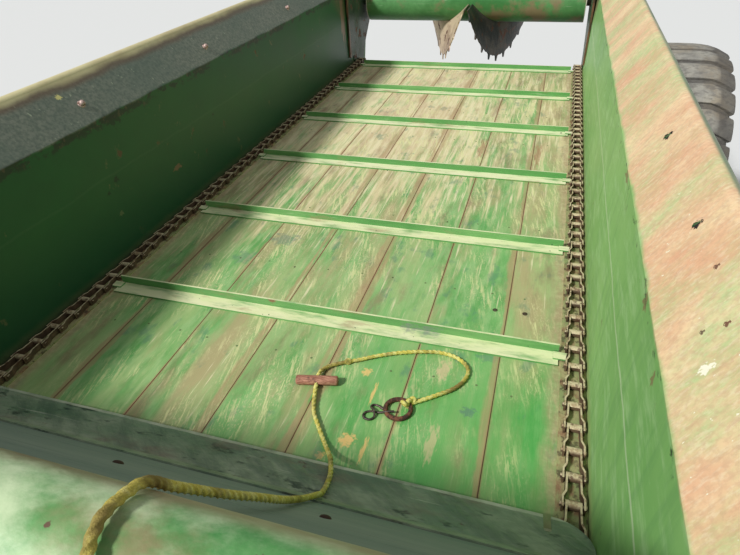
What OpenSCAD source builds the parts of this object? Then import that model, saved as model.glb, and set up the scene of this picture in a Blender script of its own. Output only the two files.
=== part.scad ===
// Manure spreader: a towed box on two wheels with a chain-and-slat floor and one rear beater.
// Millimetres. +X is the machine's right, -Y its front (the hitch), +Z up, ground at Z = 0.
// Inside at_floor(), y is measured to the rear from the front edge of the first slat that the
// load meets behind the flap, and z from the top of the floor boards.

/* [Box] */
// Inside width of the box at the floor
box_w = 1336; // [1280:1:1420]
// Thickness of the side sheets
wall_t = 3; // [2:0.5:5]
// Height above the floor of the slight lengthwise crease in each side
crease_z = 262; // [220:1:300]
// How far each side leans out at the crease
crease_out = 3; // [2:0.5:6]
// Height above the floor of the bend where the flare starts
bend_z = 418; // [390:1:440]
// How far each side leans out at the bend
bend_out = 10.5; // [8:0.5:16]
// Height above the floor of the middle of the rolled rim
rim_z = 511; // [500:1:540]
// How far the middle of the rolled rim stands outside the wall's foot
rim_out = 114; // [105:1:125]
// Outside diameter of the rolled rim
rim_d = 38; // [30:1:44]
// Where the side sheets and sills end at the rear
side_rear = 2560; // [2545:1:2590]
// How far back the lower front corner of each side lies
side_rake = 106; // [80:1:140]

/* [Floor] */
// Number of tongue-and-groove floor boards
board_count = 7; // [6:1:8]
// Thickness of the floor boards
board_t = 22; // [18:1:26]
// Gap left between neighbouring boards
board_gap = 1; // [0.6:0.1:2]

/* [Apron] */
// Pitch of the chain links
link_pitch = 58.75; // [58:0.25:60]
// Straight links along one run of the chain
run_links = 53; // [52:1:54]
// Links from one slat to the next
slat_links = 8; // [7:1:9]
// Height of the chain's pins above the floor
pin_z = 12; // [11:0.5:14]
// Height of a link
link_h = 18; // [14:1:18]
// Width of a link across its open front end
link_w = 43.5; // [38:0.5:46]
// Width of a link at its barrel
barrel_w = 28; // [24:0.5:30]
// From the wall's inner face to the middle of the chain
chain_in = 27; // [25:0.5:32]
// Gap between a side and the end of a slat
slat_gap = 62; // [58:1:68]
// Width of a slat's flat flange
slat_flange = 48; // [40:1:54]
// Height of a slat's upright leg
slat_leg = 27; // [22:1:30]
// Thickness of a slat
slat_t = 5; // [4:0.5:7]
// Diameter of the apron's shafts
apron_shaft_d = 44; // [36:1:50]

/* [Frame] */
// Height of the sills
sill_h = 135; // [128:1:145]
// Width of the sills' flanges
sill_w = 54; // [48:1:58]
// Thickness of the sills
sill_t = 6; // [5:0.5:8]
// Spacing of the side stakes
stake_pitch = 700; // [680:1:715]
// Place of the second stake
stake_y = 242; // [220:1:260]
// Width of a stake along the box
stake_w = 60; // [50:1:80]
// Depth of a stake at its foot
stake_d = 45; // [38:1:48]
// Height of the cross sills under the floor
cross_h = 60; // [50:1:64]
// Height of the saddles' plate between the axle and the sills
saddle_h = 10; // [8:1:60]

/* [Beater] */
// Place of the beater's axis along the box
beater_y = 2700; // [2690:1:2730]
// Height of the beater's axis above the floor
beater_z = 308; // [300:1:330]
// Diameter of the beater's tube
beater_d = 222; // [200:1:235]
// Gap between each end of the beater's tube and the box's side
beater_gap = 28; // [20:1:50]
// Radius to the tips of the flights' teeth
tip_r = 333; // [320:1:336]
// How far the teeth stand out of the flights
tooth_l = 34; // [25:1:42]
// Angle from one tooth to the next round a flight
tooth_turn = 18; // [15:0.5:24]
// Advance of a flight in one turn
flight_pitch = 684; // [600:1:720]
// Thickness of the flights
flight_t = 6; // [5:0.5:9]
// Diameter of the beater's shaft
beater_shaft_d = 50; // [40:1:56]

/* [Front] */
// Place of the front boards' lower edge along the box
front_y = -505; // [-520:1:-495]
// Height of the front boards' lower edge above the floor
front_z = 85; // [78:1:95]
// Slope of the front boards from the level
front_slope = 55.4; // [54:0.1:57]
// Thickness of the front boards
front_t = 22; // [18:1:24]
// Diameter of the front rail's pipe
rail_d = 114; // [108:1:120]
// Place of the front rail's middle along the box
rail_y = -845; // [-850:1:-840]
// Height of the front rail's middle above the floor
rail_z = 516; // [512:1:520]
// Reach of the steel flap behind the front boards' lower edge
flap_out = 100; // [90:1:110]
// Height of the flap's free edge above the floor
flap_z = 34; // [32:0.5:40]
// Radius of the flap's corners
flap_r = 64; // [50:1:70]
// Width of the slot where each rounded corner of the flap starts
flap_slot = 13; // [8:1:18]

/* [Wheels] */
// Place of the axle along the box
axle_y = 1665; // [1640:1:1690]
// Gap between each tyre and the line shaft's bearings
tyre_gap = 43; // [20:1:60]
// Outside diameter of a tyre
tyre_d = 1000; // [960:1:1040]
// Width of a tyre
tyre_w = 340; // [320:1:345]
// Number of lugs round a tyre
lug_count = 28; // [24:1:32]
// Width of the grooves between the lugs
groove_w = 24; // [16:1:34]
// Depth of the grooves between the lugs
groove_d = 12; // [8:1:16]
// Side of the square axle beam
axle_w = 80; // [70:1:95]
// Diameter of the spindles
spindle_d = 60; // [50:1:65]
// Diameter of the rim at the tyre's bead
rim_bead_d = 409; // [400:1:415]

/* [Hitch] */
// Place of the hitch pin along the box
hitch_y = -2415; // [-2500:1:-2380]
// Height of the hitch above the ground
hitch_h = 470; // [440:1:500]
// Diameter of the hitch pin's hole
hitch_bore = 33; // [26:1:38]
// Width of a tongue rail
tongue_w = 50; // [45:1:60]
// Height of a tongue rail
tongue_h = 100; // [90:1:110]
// Place of the tongue's cross bar along the box
cross_y = -1500; // [-1700:1:-1300]
// Distance from the jack to the machine's middle
jack_x = 300; // [300:1:330]
// Distance from the hitch pin back to the jack
jack_back = 265; // [245:1:285]
// Diameter of the jack's outer tube
jack_d = 64; // [58:1:68]
// Travel of the jack's leg
jack_travel = 260; // [220:5:280]
// Diameter of the jack's foot
jack_foot_d = 140; // [120:1:160]
// Length of the jack's crank arm
crank_arm = 112; // [90:1:140]

/* [Drive] */
// Diameter of the line shaft
line_d = 32; // [28:1:35]
// Distance from the sill's flanges to the line shaft
line_off = 40; // [34:1:48]
// Height of the line shaft above the floor
line_z = -110; // [-112:1:-108]

/* [Rope] */
// Diameter of the rope
rope_d = 10; // [8:0.5:11]

/* [Hidden] */
// Small clearance between a curved piece and its seat
snug = 0.3;
// Radial clearance of a running shaft
running = 0.05;

// The apron loop: six-tooth sprockets turn the chain by one link in each sixth of a turn
pin_r = link_pitch;
shaft_z = pin_z - pin_r;
slat_pitch = slat_links * link_pitch;
slat_mid = slat_flange / 2;
chain_x = box_w / 2 - chain_in;
drive_y = slat_mid + 5 * slat_pitch + 1.5 * link_pitch;
idler_y = drive_y - run_links * link_pitch;
loop_links = 2 * run_links + 6;
strip_t = pin_z - link_h / 2;
slat_l = box_w - 2 * slat_gap;
strip_in = slat_l / 2 + 6;
core_r = pin_r * cos(30) - link_h / 2 - snug;
sprocket_w = 28;

// The box and its frame, with the floor's height carried up from the ground
wall_x = box_w / 2;
sill_x = wall_x + wall_t;
sill_front = -800;
side_front = -806;
floor_h = tyre_d / 2 + axle_w / 2 + saddle_h + sill_h;
axle_z = tyre_d / 2 - floor_h;
rear_t = 4;
rear_x = wall_x - snug;
line_x = sill_x + sill_w + line_off;
line_boss_r = 28;
beater_l = box_w - 2 * beater_gap;
track_w = 2 * (line_x + line_boss_r + tyre_gap) + tyre_w;

// The flare ends where it touches the rolled rim, which hangs on its outer face
rim_x = wall_x + rim_out;
flare_foot = [wall_x + bend_out, bend_z];
to_rim = [rim_x, rim_z] - flare_foot;
touch_r = rim_d / 2 - snug;
flare_l = sqrt(to_rim * to_rim - touch_r * touch_r);
flare_a = atan2(to_rim.y, to_rim.x) + asin(touch_r / norm(to_rim));
flare_dir = [cos(flare_a), sin(flare_a)];

// The machine's length, from the hitch's nose to the beater's tips
nose = 40;
hitch_front = hitch_y - nose;
mid_y = (hitch_front + beater_y + tip_r) / 2;

// The tongue
plate_y = hitch_y + 85;
hitch_z = hitch_h - floor_h;
tongue_rear_x = 560;
tongue_front_x = 45;
tongue_rear_z = -90;
jack_y = hitch_y + jack_back;

// Where a side's inner face stands, from the sill's foot to the rolled rim
side_path = [
    [wall_x, -sill_h],
    [wall_x, 0],
    [wall_x + crease_out, crease_z],
    flare_foot,
    flare_foot + flare_l * flare_dir
];

// Moves a piece from the floor's own places to the machine's frame
module at_floor() translate([0, -mid_y, floor_h]) children();

// Draws an outline of x and z along the machine, from y0 to y1
module along_y(y0, y1) translate([0, y1, 0]) rotate([90, 0, 0]) linear_extrude(y1 - y0) children();

// Draws an outline of y and z across the machine, from x0 to x1
module along_x(x0, x1) translate([x0, 0, 0]) rotate([90, 0, 90]) linear_extrude(x1 - x0) children();

// Draws a child on the right, or mirrored on the left
module on_side(left) mirror([left ? 1 : 0, 0, 0]) children();

// Draws a child on both sides
module both_sides() {
    children();
    mirror([1, 0, 0]) children();
}

// Unit vector of v, and the unit vector to the right of v in a flat outline
function unit(v) = v / norm(v);
function right_of(v) = [v.y, -v.x] / norm(v);

// Point i of a path moved sideways by t, mitred where the path bends
function moved(p, i, t) =
    let (n0 = right_of(p[max(i, 1)] - p[max(i, 1) - 1]))
    let (n1 = right_of(p[min(i + 1, len(p) - 1)] - p[min(i + 1, len(p) - 1) - 1]))
    p[i] + t * (n0 + n1) / (1 + n0 * n1);

// Section of a sheet whose one face follows a path
module sheet(path, t) {
    back = [for (i = [len(path) - 1:-1:0]) moved(path, i, t)];
    polygon(concat(path, back));
}

// Square bar from a to b, w wide and h high
module bar(a, b, w, h) {
    v = b - a;
    translate(a)
        rotate([0, acos(v.z / norm(v)), atan2(v.y, v.x)])
            translate([-h / 2, -w / 2, 0])
                cube([h, w, norm(v)]);
}

// Closed surface through rings of points, each ring with the same number of points
module skin(rings) {
    n = len(rings[0]);
    last = len(rings) - 1;
    points = [for (ring = rings) for (p = ring) p];
    walls = [
        for (i = [0:last - 1]) for (j = [0:n - 1])
            let (a = i * n + j, b = i * n + (j + 1) % n)
                each [[a, a + n, b], [b, a + n, b + n]]
    ];
    lids = [[for (j = [0:n - 1]) j], [for (j = [n - 1:-1:0]) last * n + j]];
    polyhedron(points, concat(walls, lids));
}

// Floor

module board_section(left_end, right_end) {
    w = box_w / board_count - board_gap;
    tongue_h0 = board_t / 3;
    tongue_l = 6;
    difference() {
        union() {
            translate([0, -board_t]) square([w, board_t]);
            if (!right_end)
                translate([w - 1, -board_t / 2 - tongue_h0 / 2]) square([tongue_l + 1, tongue_h0]);
        }
        if (!left_end)
            translate([-1, -board_t / 2 - tongue_h0 / 2 - 0.5]) square([tongue_l + 1, tongue_h0 + 1]);
    }
}

module floor_boards() color("olivedrab") at_floor() {
    pitch = box_w / board_count;
    sprocket_room = core_r + 20;
    difference() {
        for (i = [0:board_count - 1])
            along_y(idler_y, drive_y)
                translate([i * pitch - wall_x + board_gap / 2, 0])
                    board_section(i == 0, i == board_count - 1);
        both_sides() for (y = [drive_y, idler_y])
            translate([strip_in - 14, y - sprocket_room, -board_t - 1])
                cube([wall_x, 2 * sprocket_room, board_t + 2]);
    }
}

// Steel strips under the top run, and angles on the walls under the return run
module chain_guides() color("sienna") at_floor() both_sides() {
    room = core_r + 22;
    return_z = 2 * shaft_z - pin_z - link_h / 2;
    along_y(idler_y + room, drive_y - room)
        translate([strip_in, 0])
            square([wall_x - strip_in - 1, strip_t]);
    along_y(idler_y + room, drive_y - room)
        sheet([[strip_in, return_z], [wall_x, return_z], [wall_x, -sill_h + 2]], 4);
}

// Sides

// Outline of a side seen across the machine
module side_outline() difference() {
    polygon([
        [side_front + side_rake, -sill_h], [side_front + 60, 0], [side_front, 120],
        [side_front, rim_z + rim_d], [side_rear, rim_z + rim_d], [side_rear, -sill_h]
    ]);
    translate([rail_y, rail_z]) circle(d = rail_d + 2 * snug);
}

// Holes through the sides for the apron's shafts
module shaft_holes(x0, x1) for (y = [idler_y, drive_y])
    translate([x0, y, shaft_z])
        rotate([0, 90, 0])
            cylinder(d = apron_shaft_d + 16, h = x1 - x0);

// Slots through the right flare, at two places along the box
flare_slots = [-168, 182];
flare_slot_up = 92;
module flare_slot(y) translate([flare_foot.x, y, flare_foot.y]) rotate([0, -flare_a, 0])
    translate([flare_slot_up, 0, -10]) linear_extrude(20) {
        translate([-5, -3.5]) square([10, 7]);
        for (x = [-5, 5]) translate([x, 0]) circle(d = 7);
    }

module side(left) color("seagreen") at_floor() on_side(left) difference() {
    intersection() {
        difference() {
            union() {
                along_y(side_front, side_rear) sheet(side_path, wall_t);
                along_y(side_front, side_rear) translate([rim_x, rim_z]) circle(d = rim_d);
            }
            along_y(side_front - 1, side_rear + 1) translate([rim_x, rim_z]) circle(d = rim_d - 2 * wall_t);
        }
        along_x(wall_x - 10, rim_x + rim_d) side_outline();
    }
    shaft_holes(wall_x - 10, wall_x + 20);
    if (!left) for (y = flare_slots) flare_slot(y);
}
module side_left() side(true);
module side_right() side(false);

// Flat rear plates that carry the beater, each with the strip that covers its front edge
module rear_plate(left) color("darkgreen") at_floor() on_side(left) difference() {
    front = drive_y - core_r - 16;
    union() {
        along_x(rear_x - rear_t, rear_x) {
            polygon([
                [front, -sill_h], [side_rear, -sill_h], [side_rear, 0], [side_rear + 30, 60],
                [beater_y + 70, beater_z - 72], [beater_y, beater_z + 100], [side_rear + 30, bend_z + 7],
                [front - 24, bend_z + 7], [front - 24, 20], [front, 20]
            ]);
            translate([beater_y, beater_z]) circle(r = 100);
        }
        along_x(rear_x - rear_t - 5, rear_x) translate([front - 104, 60]) square([90, bend_z - 70]);
    }
    shaft_holes(wall_x - 20, wall_x + 20);
    translate([wall_x - 20, beater_y, beater_z])
        rotate([0, 90, 0]) cylinder(d = beater_shaft_d + 14, h = 40);
}
module rear_plate_left() rear_plate(true);
module rear_plate_right() rear_plate(false);

// Pressed channels that hold the sides up, following the wall and the flare
module stakes(left) color("green") at_floor() on_side(left) {
    foot = moved(side_path, 1, wall_t + snug);
    crease = moved(side_path, 2, wall_t + snug);
    bend = moved(side_path, 3, wall_t + snug);
    tip = moved([side_path[3], side_path[4]], 1, wall_t + snug) - (rim_d / 2 + 4) * flare_dir;
    back = [[foot.x + stake_d, 0], [bend.x + stake_d - 5, bend.y - 22], tip + [12, -18]];
    for (i = [-1:3]) translate([0, stake_y + i * stake_pitch, 0]) difference() {
        along_y(-stake_w / 2, stake_w / 2)
            polygon([[foot.x, 0], crease, bend, tip, back[2], back[1], back[0]]);
        along_y(-stake_w / 2 + 4, stake_w / 2 - 4)
            polygon([
                [foot.x - 10, 4], [crease.x - 10, crease.y], bend + [-10, 6], tip + [-14, -4],
                back[2] + [-6, 5], back[1] + [-5, 0], back[0] + [-5, 4]
            ]);
    }
}
module stakes_left() stakes(true);
module stakes_right() stakes(false);

module sill(left) color("darkgreen") at_floor() on_side(left) difference() {
    along_y(sill_front, side_rear)
        translate([sill_x, -sill_h]) difference() {
            square([sill_w, sill_h]);
            translate([sill_t, sill_t]) square([sill_w, sill_h - 2 * sill_t]);
        }
    shaft_holes(wall_x, sill_x + 20);
}
module sill_left() sill(true);
module sill_right() sill(false);

// Channels across the machine under the floor, and one that ties the sills' front ends
module cross_sills() color("darkgreen") at_floor() {
    count = 9;
    for (i = [0:count - 1]) translate([0, stake_y - stake_pitch + i * stake_pitch / 2, 0])
        along_x(-wall_x, wall_x)
            sheet([
                [20, -board_t], [-20, -board_t], [-20, -board_t - cross_h], [20, -board_t - cross_h]
            ], -4);
    along_x(-sill_x, sill_x)
        translate([sill_front, -sill_h]) difference() {
            square([40, sill_h - 30]);
            translate([6, 6]) square([40, sill_h - 42]);
        }
}

// Front

// Places a child on the front boards' inner face, z out of the face and y up the slope
module on_front()
    translate([0, front_y, front_z]) rotate([180 - front_slope, 0, 0]) mirror([0, 0, 1]) children();

function slope_to_rail() =
    let (c = [rail_y - front_y, rail_z - front_z])
    let (along = [-cos(front_slope), sin(front_slope)])
    let (out = [sin(front_slope), cos(front_slope)])
    let (deep = -(c * out) - front_t)
    c * along - sqrt(pow(rail_d / 2, 2) - pow(max(deep, 0), 2));

module inside_of_box(gap) {
    inner = [for (i = [0:len(side_path) - 1]) moved(side_path, i, -gap)];
    along_y(side_front - 60, side_rear)
        polygon(concat(inner, [for (i = [len(inner) - 1:-1:0]) [-inner[i].x, inner[i].y]]));
}

module front_boards() color("darkseagreen") at_floor() intersection() {
    count = 3;
    pitch = (slope_to_rail() - 1) / count;
    on_front() for (i = [0:count - 1])
        translate([-rim_x, i * pitch, -front_t])
            cube([2 * rim_x, pitch - board_gap, front_t]);
    inside_of_box(1);
}

// Angle under the front boards' lower edge, and three uprights behind the boards
module front_frame() color("green") at_floor() difference() {
    intersection() {
        on_front() union() {
            translate([-wall_x, 0, -front_t - 50]) cube([2 * wall_x, 6, 50]);
            translate([-wall_x, 0, -front_t - 6]) cube([2 * wall_x, 50, 6]);
            for (x = [-308, 0, 308]) translate([x - 25, 6, -front_t - 40]) difference() {
                cube([50, slope_to_rail() + 20, 40]);
                translate([5, -1, 5]) cube([40, slope_to_rail() + 40, 40]);
            }
        }
        inside_of_box(1);
    }
    translate([-rim_x, rail_y, rail_z]) rotate([0, 90, 0]) cylinder(d = rail_d + 2 * snug, h = 2 * rim_x);
}

module front_flap() color("green") at_floor() difference() {
    lap = 70;
    lift = snug * [sin(front_slope), cos(front_slope)];
    knee = [front_y, front_z] + lift;
    edge = front_y + flap_out;
    half = wall_x - 2;
    along_x(-half, half)
        sheet([[edge, flap_z], knee, knee + lap * [-cos(front_slope), sin(front_slope)]], 3);
    both_sides() translate([0, 0, flap_z - 20]) linear_extrude(60) union() {
        difference() {
            translate([half - flap_r, edge - flap_r]) square([flap_r + 5, flap_r + 5]);
            translate([half - flap_r, edge - flap_r]) circle(r = flap_r);
        }
        translate([half - flap_r - flap_slot, edge - 36]) square([flap_slot, 50]);
        translate([half - flap_r - flap_slot / 2, edge - 36]) circle(d = flap_slot);
    }
}

module front_rail() color("limegreen") at_floor()
    translate([-rim_x - rim_d / 2, rail_y, rail_z]) rotate([0, 90, 0]) difference() {
        cylinder(d = rail_d, h = 2 * rim_x + rim_d);
        translate([0, 0, 6]) cylinder(d = rail_d - 10, h = 2 * rim_x + rim_d - 12);
    }

// Apron

// Draws a child at link s of the loop, with x across, y along the travel and z out of the loop
module at_link(s) {
    turn = s < run_links ? 0 : s < run_links + 3 ? 30 + 60 * (s - run_links)
        : s < 2 * run_links + 3 ? 180 : 210 + 60 * (s - 2 * run_links - 3);
    mid = s < run_links ? [idler_y + (s + 0.5) * link_pitch, pin_z]
        : s < run_links + 3 ? [drive_y + pin_r * cos(30) * sin(turn), shaft_z + pin_r * cos(30) * cos(turn)]
        : s < 2 * run_links + 3 ? [drive_y - (s - run_links - 2.5) * link_pitch, shaft_z - pin_r]
        : [idler_y + pin_r * cos(30) * sin(turn), shaft_z + pin_r * cos(30) * cos(turn)];
    translate([0, mid.x, mid.y]) rotate([-turn, 0, 0]) children();
}

// A link's front and rear ends, and how far its side stands out at place y along it
link_front = -link_pitch / 2 - 4;
link_rear = link_pitch / 2 + 9;
function link_side(y) =
    (link_w - (link_w - barrel_w) * (y - link_front) / (link_rear - link_front)) / 2;

// One link: two bars from a barrel at its rear, open and wide at its front, where they take the
// barrel of the link before
link_open_w = barrel_w - 9;
link_open_y = link_rear - link_h;
module link() translate([0, 0, -link_h / 2]) linear_extrude(link_h)
    polygon([
        [-link_w / 2, link_front], [-link_open_w / 2, link_open_y], [link_open_w / 2, link_open_y],
        [link_w / 2, link_front], [barrel_w / 2, link_rear], [-barrel_w / 2, link_rear]
    ]);

module apron_chain(left) color("dimgray") at_floor() on_side(left)
    translate([chain_x, 0, 0]) for (s = [0:loop_links - 1]) at_link(s) link();
module apron_chain_left() apron_chain(true);
module apron_chain_right() apron_chain(false);

// One slat: an angle with its flange to the front, and a flat tab to each chain
tab_t = 4;
tab_front = -7;
tab_rear = slat_mid - slat_t - 3;
module slat() {
    foot = -pin_z;
    difference() {
        along_x(-slat_l / 2, slat_l / 2)
            polygon([
                [-slat_mid, foot], [slat_mid, foot], [slat_mid, foot + slat_leg],
                [slat_mid - slat_t, foot + slat_leg], [slat_mid - slat_t, foot + slat_t],
                [-slat_mid, foot + slat_t]
            ]);
        both_sides() translate([slat_l / 2, -slat_mid, foot - 1]) rotate([0, 0, 45])
            cube([24, 24, slat_t + 2], center = true);
    }
    both_sides() translate([0, 0, foot + slat_t]) linear_extrude(tab_t)
        polygon([
            [slat_l / 2 - 12, tab_front], [chain_x - link_side(tab_front) - snug, tab_front],
            [chain_x - link_side(tab_rear) - snug, tab_rear], [slat_l / 2 - 12, tab_rear]
        ]);
}

module apron_slats() color("mediumseagreen") at_floor()
    for (k = [0:slat_links:loop_links - 1]) at_link(k + 3) slat();

// Shaft with a six-sided sprocket under each chain, and a tooth through each link that lies on it
module apron_shaft(y, x0, x1) translate([0, y, shaft_z]) {
    tooth_w = link_open_w - 5;
    foot_w = 24;
    tip_w = 10;
    tooth_h = link_h + 4;
    translate([x0, 0, 0]) rotate([0, 90, 0]) cylinder(d = apron_shaft_d, h = x1 - x0);
    both_sides() translate([chain_x - sprocket_w / 2, 0, 0]) rotate([0, 90, 0])
        cylinder(r = core_r / cos(30), h = sprocket_w, $fn = 6);
    both_sides() for (k = [0:5]) rotate([30 + 60 * k, 0, 0])
        along_x(chain_x - tooth_w / 2, chain_x + tooth_w / 2)
            polygon([
                [-foot_w / 2, core_r - 4], [foot_w / 2, core_r - 4], [foot_w / 2, core_r],
                [tip_w / 2, core_r + tooth_h], [-tip_w / 2, core_r + tooth_h], [-foot_w / 2, core_r]
            ]);
}
module apron_drive_shaft() color("gray") at_floor()
    apron_shaft(drive_y, -line_x + 34, sill_x + sill_t + 34);
module apron_idler_shaft() color("gray") at_floor()
    apron_shaft(idler_y, -sill_x - sill_t - 34, sill_x + sill_t + 34);

// Flanged bearings of the apron's shafts in the sills, and of the beater on the rear plates
module bearing(x, y, z, bore, h) translate([x, y, z]) rotate([0, 90, 0]) difference() {
    union() {
        cylinder(r = bore / 2 + 9, h = h);
        cylinder(r = bore / 2 + 18, h = 10);
    }
    translate([0, 0, -1]) cylinder(d = bore + 2 * running, h = h + 2);
}
beater_bearing_h = 32;
module shaft_bearings() color("darkslategray") at_floor() both_sides() {
    for (y = [idler_y, drive_y]) bearing(sill_x + sill_t, y, shaft_z, apron_shaft_d, 30);
    bearing(rear_x, beater_y, beater_z, beater_shaft_d, beater_bearing_h);
}

// Drive

gear_w = 76;
gear_x = -line_x - gear_w / 2;
module apron_gearbox() color("darkolivegreen") at_floor() difference() {
    union() {
        translate([gear_x, drive_y - 70, line_z - 45]) cube([gear_w, 140, 70]);
        translate([gear_x + 8, drive_y, shaft_z]) rotate([0, 90, 0]) cylinder(r = 62, h = gear_w - 8);
        translate([-line_x, drive_y + 90, line_z]) rotate([90, 0, 0]) cylinder(r = line_boss_r, h = 180);
    }
    translate([-line_x, drive_y - 100, line_z]) rotate([-90, 0, 0])
        cylinder(d = line_d + 2 * running, h = 200);
    translate([-line_x + 34, drive_y, shaft_z]) rotate([0, 90, 0])
        cylinder(d = apron_shaft_d + 2 * running, h = 60);
}

bevel_y = side_rear + 10;
module bevel_gearbox() color("darkolivegreen") at_floor() difference() {
    union() {
        translate([gear_x, bevel_y, line_z - 45]) cube([gear_w, 110, 90]);
        translate([gear_x + 6, bevel_y + 60, line_z]) rotate([0, 90, 0]) cylinder(r = 50, h = gear_w - 6);
    }
    translate([-line_x, bevel_y - 1, line_z]) rotate([-90, 0, 0]) cylinder(d = line_d + 2 * running, h = 41);
}

// Closed guard over the chain from the bevel gearbox up to the beater
module chain_guard() color("green") at_floor() difference() {
    x1 = -rear_x - beater_bearing_h - snug;
    x0 = gear_x + gear_w + snug;
    low = [bevel_y + 60, line_z];
    low_r = 56;
    high_r = 95;
    high = [beater_y, beater_z];
    side_dir = right_of(high - low);
    along_x(x0, x1) union() {
        translate(low) circle(r = low_r);
        translate(high) circle(r = high_r);
        polygon([
            low + low_r * side_dir, high + high_r * side_dir,
            high - high_r * side_dir, low - low_r * side_dir
        ]);
    }
    translate([x1 + 1, beater_y, beater_z]) rotate([0, -90, 0]) cylinder(d = beater_shaft_d + 6, h = 20);
}

// Bearings of the line shaft on the left sill, and the plate that carries the bevel gearbox
line_seat_front = 60;
line_seat_mid = 158;
line_seat_rear = 310;
module line_bearings() color("darkslategray") at_floor() {
    seats = [sill_front + line_seat_front, stake_y + line_seat_mid, side_rear - line_seat_rear];
    for (y = seats) difference() {
        union() {
            translate([-line_x, y - 20, line_z]) rotate([-90, 0, 0]) cylinder(r = line_boss_r, h = 40);
            translate([-line_x, y - 20, line_z - 25]) cube([line_off, 40, 50]);
        }
        translate([-line_x, y - 30, line_z]) rotate([-90, 0, 0]) cylinder(d = line_d + 2 * running, h = 60);
    }
    difference() {
        translate([gear_x, side_rear, -sill_h - 15]) cube([line_x + gear_w / 2 - sill_x, 10, sill_h]);
        translate([-line_x, side_rear - 1, line_z]) rotate([-90, 0, 0]) cylinder(d = line_d + 6, h = 12);
    }
}

line_front = -930;
module line_shaft() color("silver") at_floor()
    translate([-line_x, line_front, line_z]) rotate([-90, 0, 0])
        cylinder(d = line_d, h = bevel_y + 38 - line_front);

// Telescoping shaft from the line shaft to the tractor, laid on its hanger
drive_a = [-line_x, line_front - 75, line_z];
drive_b = [-130, hitch_y + 115, -60];
module driveline() color("dimgray") at_floor() {
    v = drive_b - drive_a;
    turn = [0, acos(v.z / norm(v)), atan2(v.y, v.x)];
    translate([-line_x, line_front, line_z]) rotate([90, 0, 0]) cylinder(d = 62, h = 60);
    translate(drive_a) sphere(r = 30);
    translate(drive_a) rotate(turn) {
        translate([0, 0, 20]) cylinder(d = 62, h = 50);
        translate([0, 0, 60]) cylinder(d = 70, h = norm(v) / 2);
        translate([0, 0, norm(v) / 2]) cylinder(d = 58, h = norm(v) / 2 - 60);
        translate([0, 0, norm(v) - 70]) cylinder(d = 62, h = 50);
    }
    translate(drive_b) sphere(r = 30);
    translate(drive_b) rotate([90, 0, 0]) difference() {
        translate([0, 0, 5]) cylinder(d = 62, h = 80);
        translate([0, 0, 35]) cylinder(d = 35, h = 60);
    }
}

// Bracket on the left tongue rail, with a hook under the driveline
hanger_y = -1990;
module driveline_hanger() color("green") at_floor() difference() {
    seat = drive_a + (drive_b - drive_a) * (hanger_y - drive_a.y) / (drive_b.y - drive_a.y);
    rail = rail_point(hanger_y);
    foot_z = rail.z + tongue_h / 2 - 6;
    union() {
        translate([-rail.x - 20, hanger_y - 15, foot_z]) cube([40, 30, seat.z - 30 - foot_z]);
        translate([seat.x - 40, hanger_y - 15, seat.z - 38]) cube([60 - rail.x - seat.x, 30, 8]);
        translate([seat.x - 48, hanger_y - 15, seat.z - 38]) cube([8, 30, 40]);
    }
    mirror([1, 0, 0])
        bar(rail_point(sill_front), rail_point(plate_y), tongue_w + 2 * snug, tongue_h + 2 * snug);
    bar(drive_a, drive_b, 58 + 2 * snug, 58 + 2 * snug);
}

// Beater

module beater_tube() color("mediumseagreen") at_floor()
    translate([-beater_l / 2, beater_y, beater_z]) rotate([0, 90, 0]) difference() {
        cylinder(d = beater_d, h = beater_l);
        translate([0, 0, 8]) cylinder(d = beater_d - 12, h = beater_l - 16);
        translate([0, 0, -1]) cylinder(d = beater_shaft_d + 2 * running, h = beater_l + 2);
    }

// A flight starts at the front in the middle and winds down, outwards and round behind
function flight_point(side, a, r, dx) = [
    side * (8 + flight_pitch * a / 360 + dx),
    beater_y - r * cos(a),
    beater_z - r * sin(a)
];
module beater_flights() color("dimgray") at_floor() for (side = [-1, 1]) {
    sweep = (beater_l / 2 - 14 - flight_t) / flight_pitch * 360;
    teeth = floor(sweep / tooth_turn);
    inner = beater_d / 2 + snug + 0.1;
    // Columns: part of the way to the next tooth, and height of the edge there
    tooth_form = [[0, 0.12], [0.2, 0], [0.38, 0.16], [0.46, 1], [0.54, 1], [0.62, 0.16], [0.8, 0]];
    steps = [for (i = [0:teeth - 1]) for (f = tooth_form) [(i + f[0]) * tooth_turn, f[1]]];
    rings = [
        for (s = concat(steps, [[teeth * tooth_turn, 0]]))
            let (outer = tip_r - tooth_l * (1 - s[1]), flip = side > 0 ? 1 : -1)
                [
                    flight_point(side, s[0], inner, 0), flight_point(side, s[0], outer, 0),
                    flight_point(side, s[0], outer, flight_t), flight_point(side, s[0], inner, flight_t)
                ]
    ];
    skin(side > 0 ? rings : [for (r = rings) [r[3], r[2], r[1], r[0]]]);
}

module beater_shaft() color("silver") at_floor()
    translate([-rear_x - beater_bearing_h - 12, beater_y, beater_z]) rotate([0, 90, 0])
        cylinder(d = beater_shaft_d, h = 2 * rear_x + 2 * beater_bearing_h + 20);

// Axle and wheels

// How far a hub reaches inwards from the tyre's middle, its gap to the beam, and its disc's place
hub_in = tyre_w / 2 + 30;
hub_gap = 5;
disc_x = 30;
beam_end = track_w / 2 - hub_in - hub_gap;
spindle_l = hub_in + hub_gap + disc_x + 15;
module axle() color("darkgreen") at_floor() translate([0, axle_y, axle_z]) {
    translate([-beam_end, -axle_w / 2, -axle_w / 2]) cube([2 * beam_end, axle_w, axle_w]);
    both_sides() translate([beam_end, 0, 0]) rotate([0, 90, 0]) cylinder(d = spindle_d, h = spindle_l);
}

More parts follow.
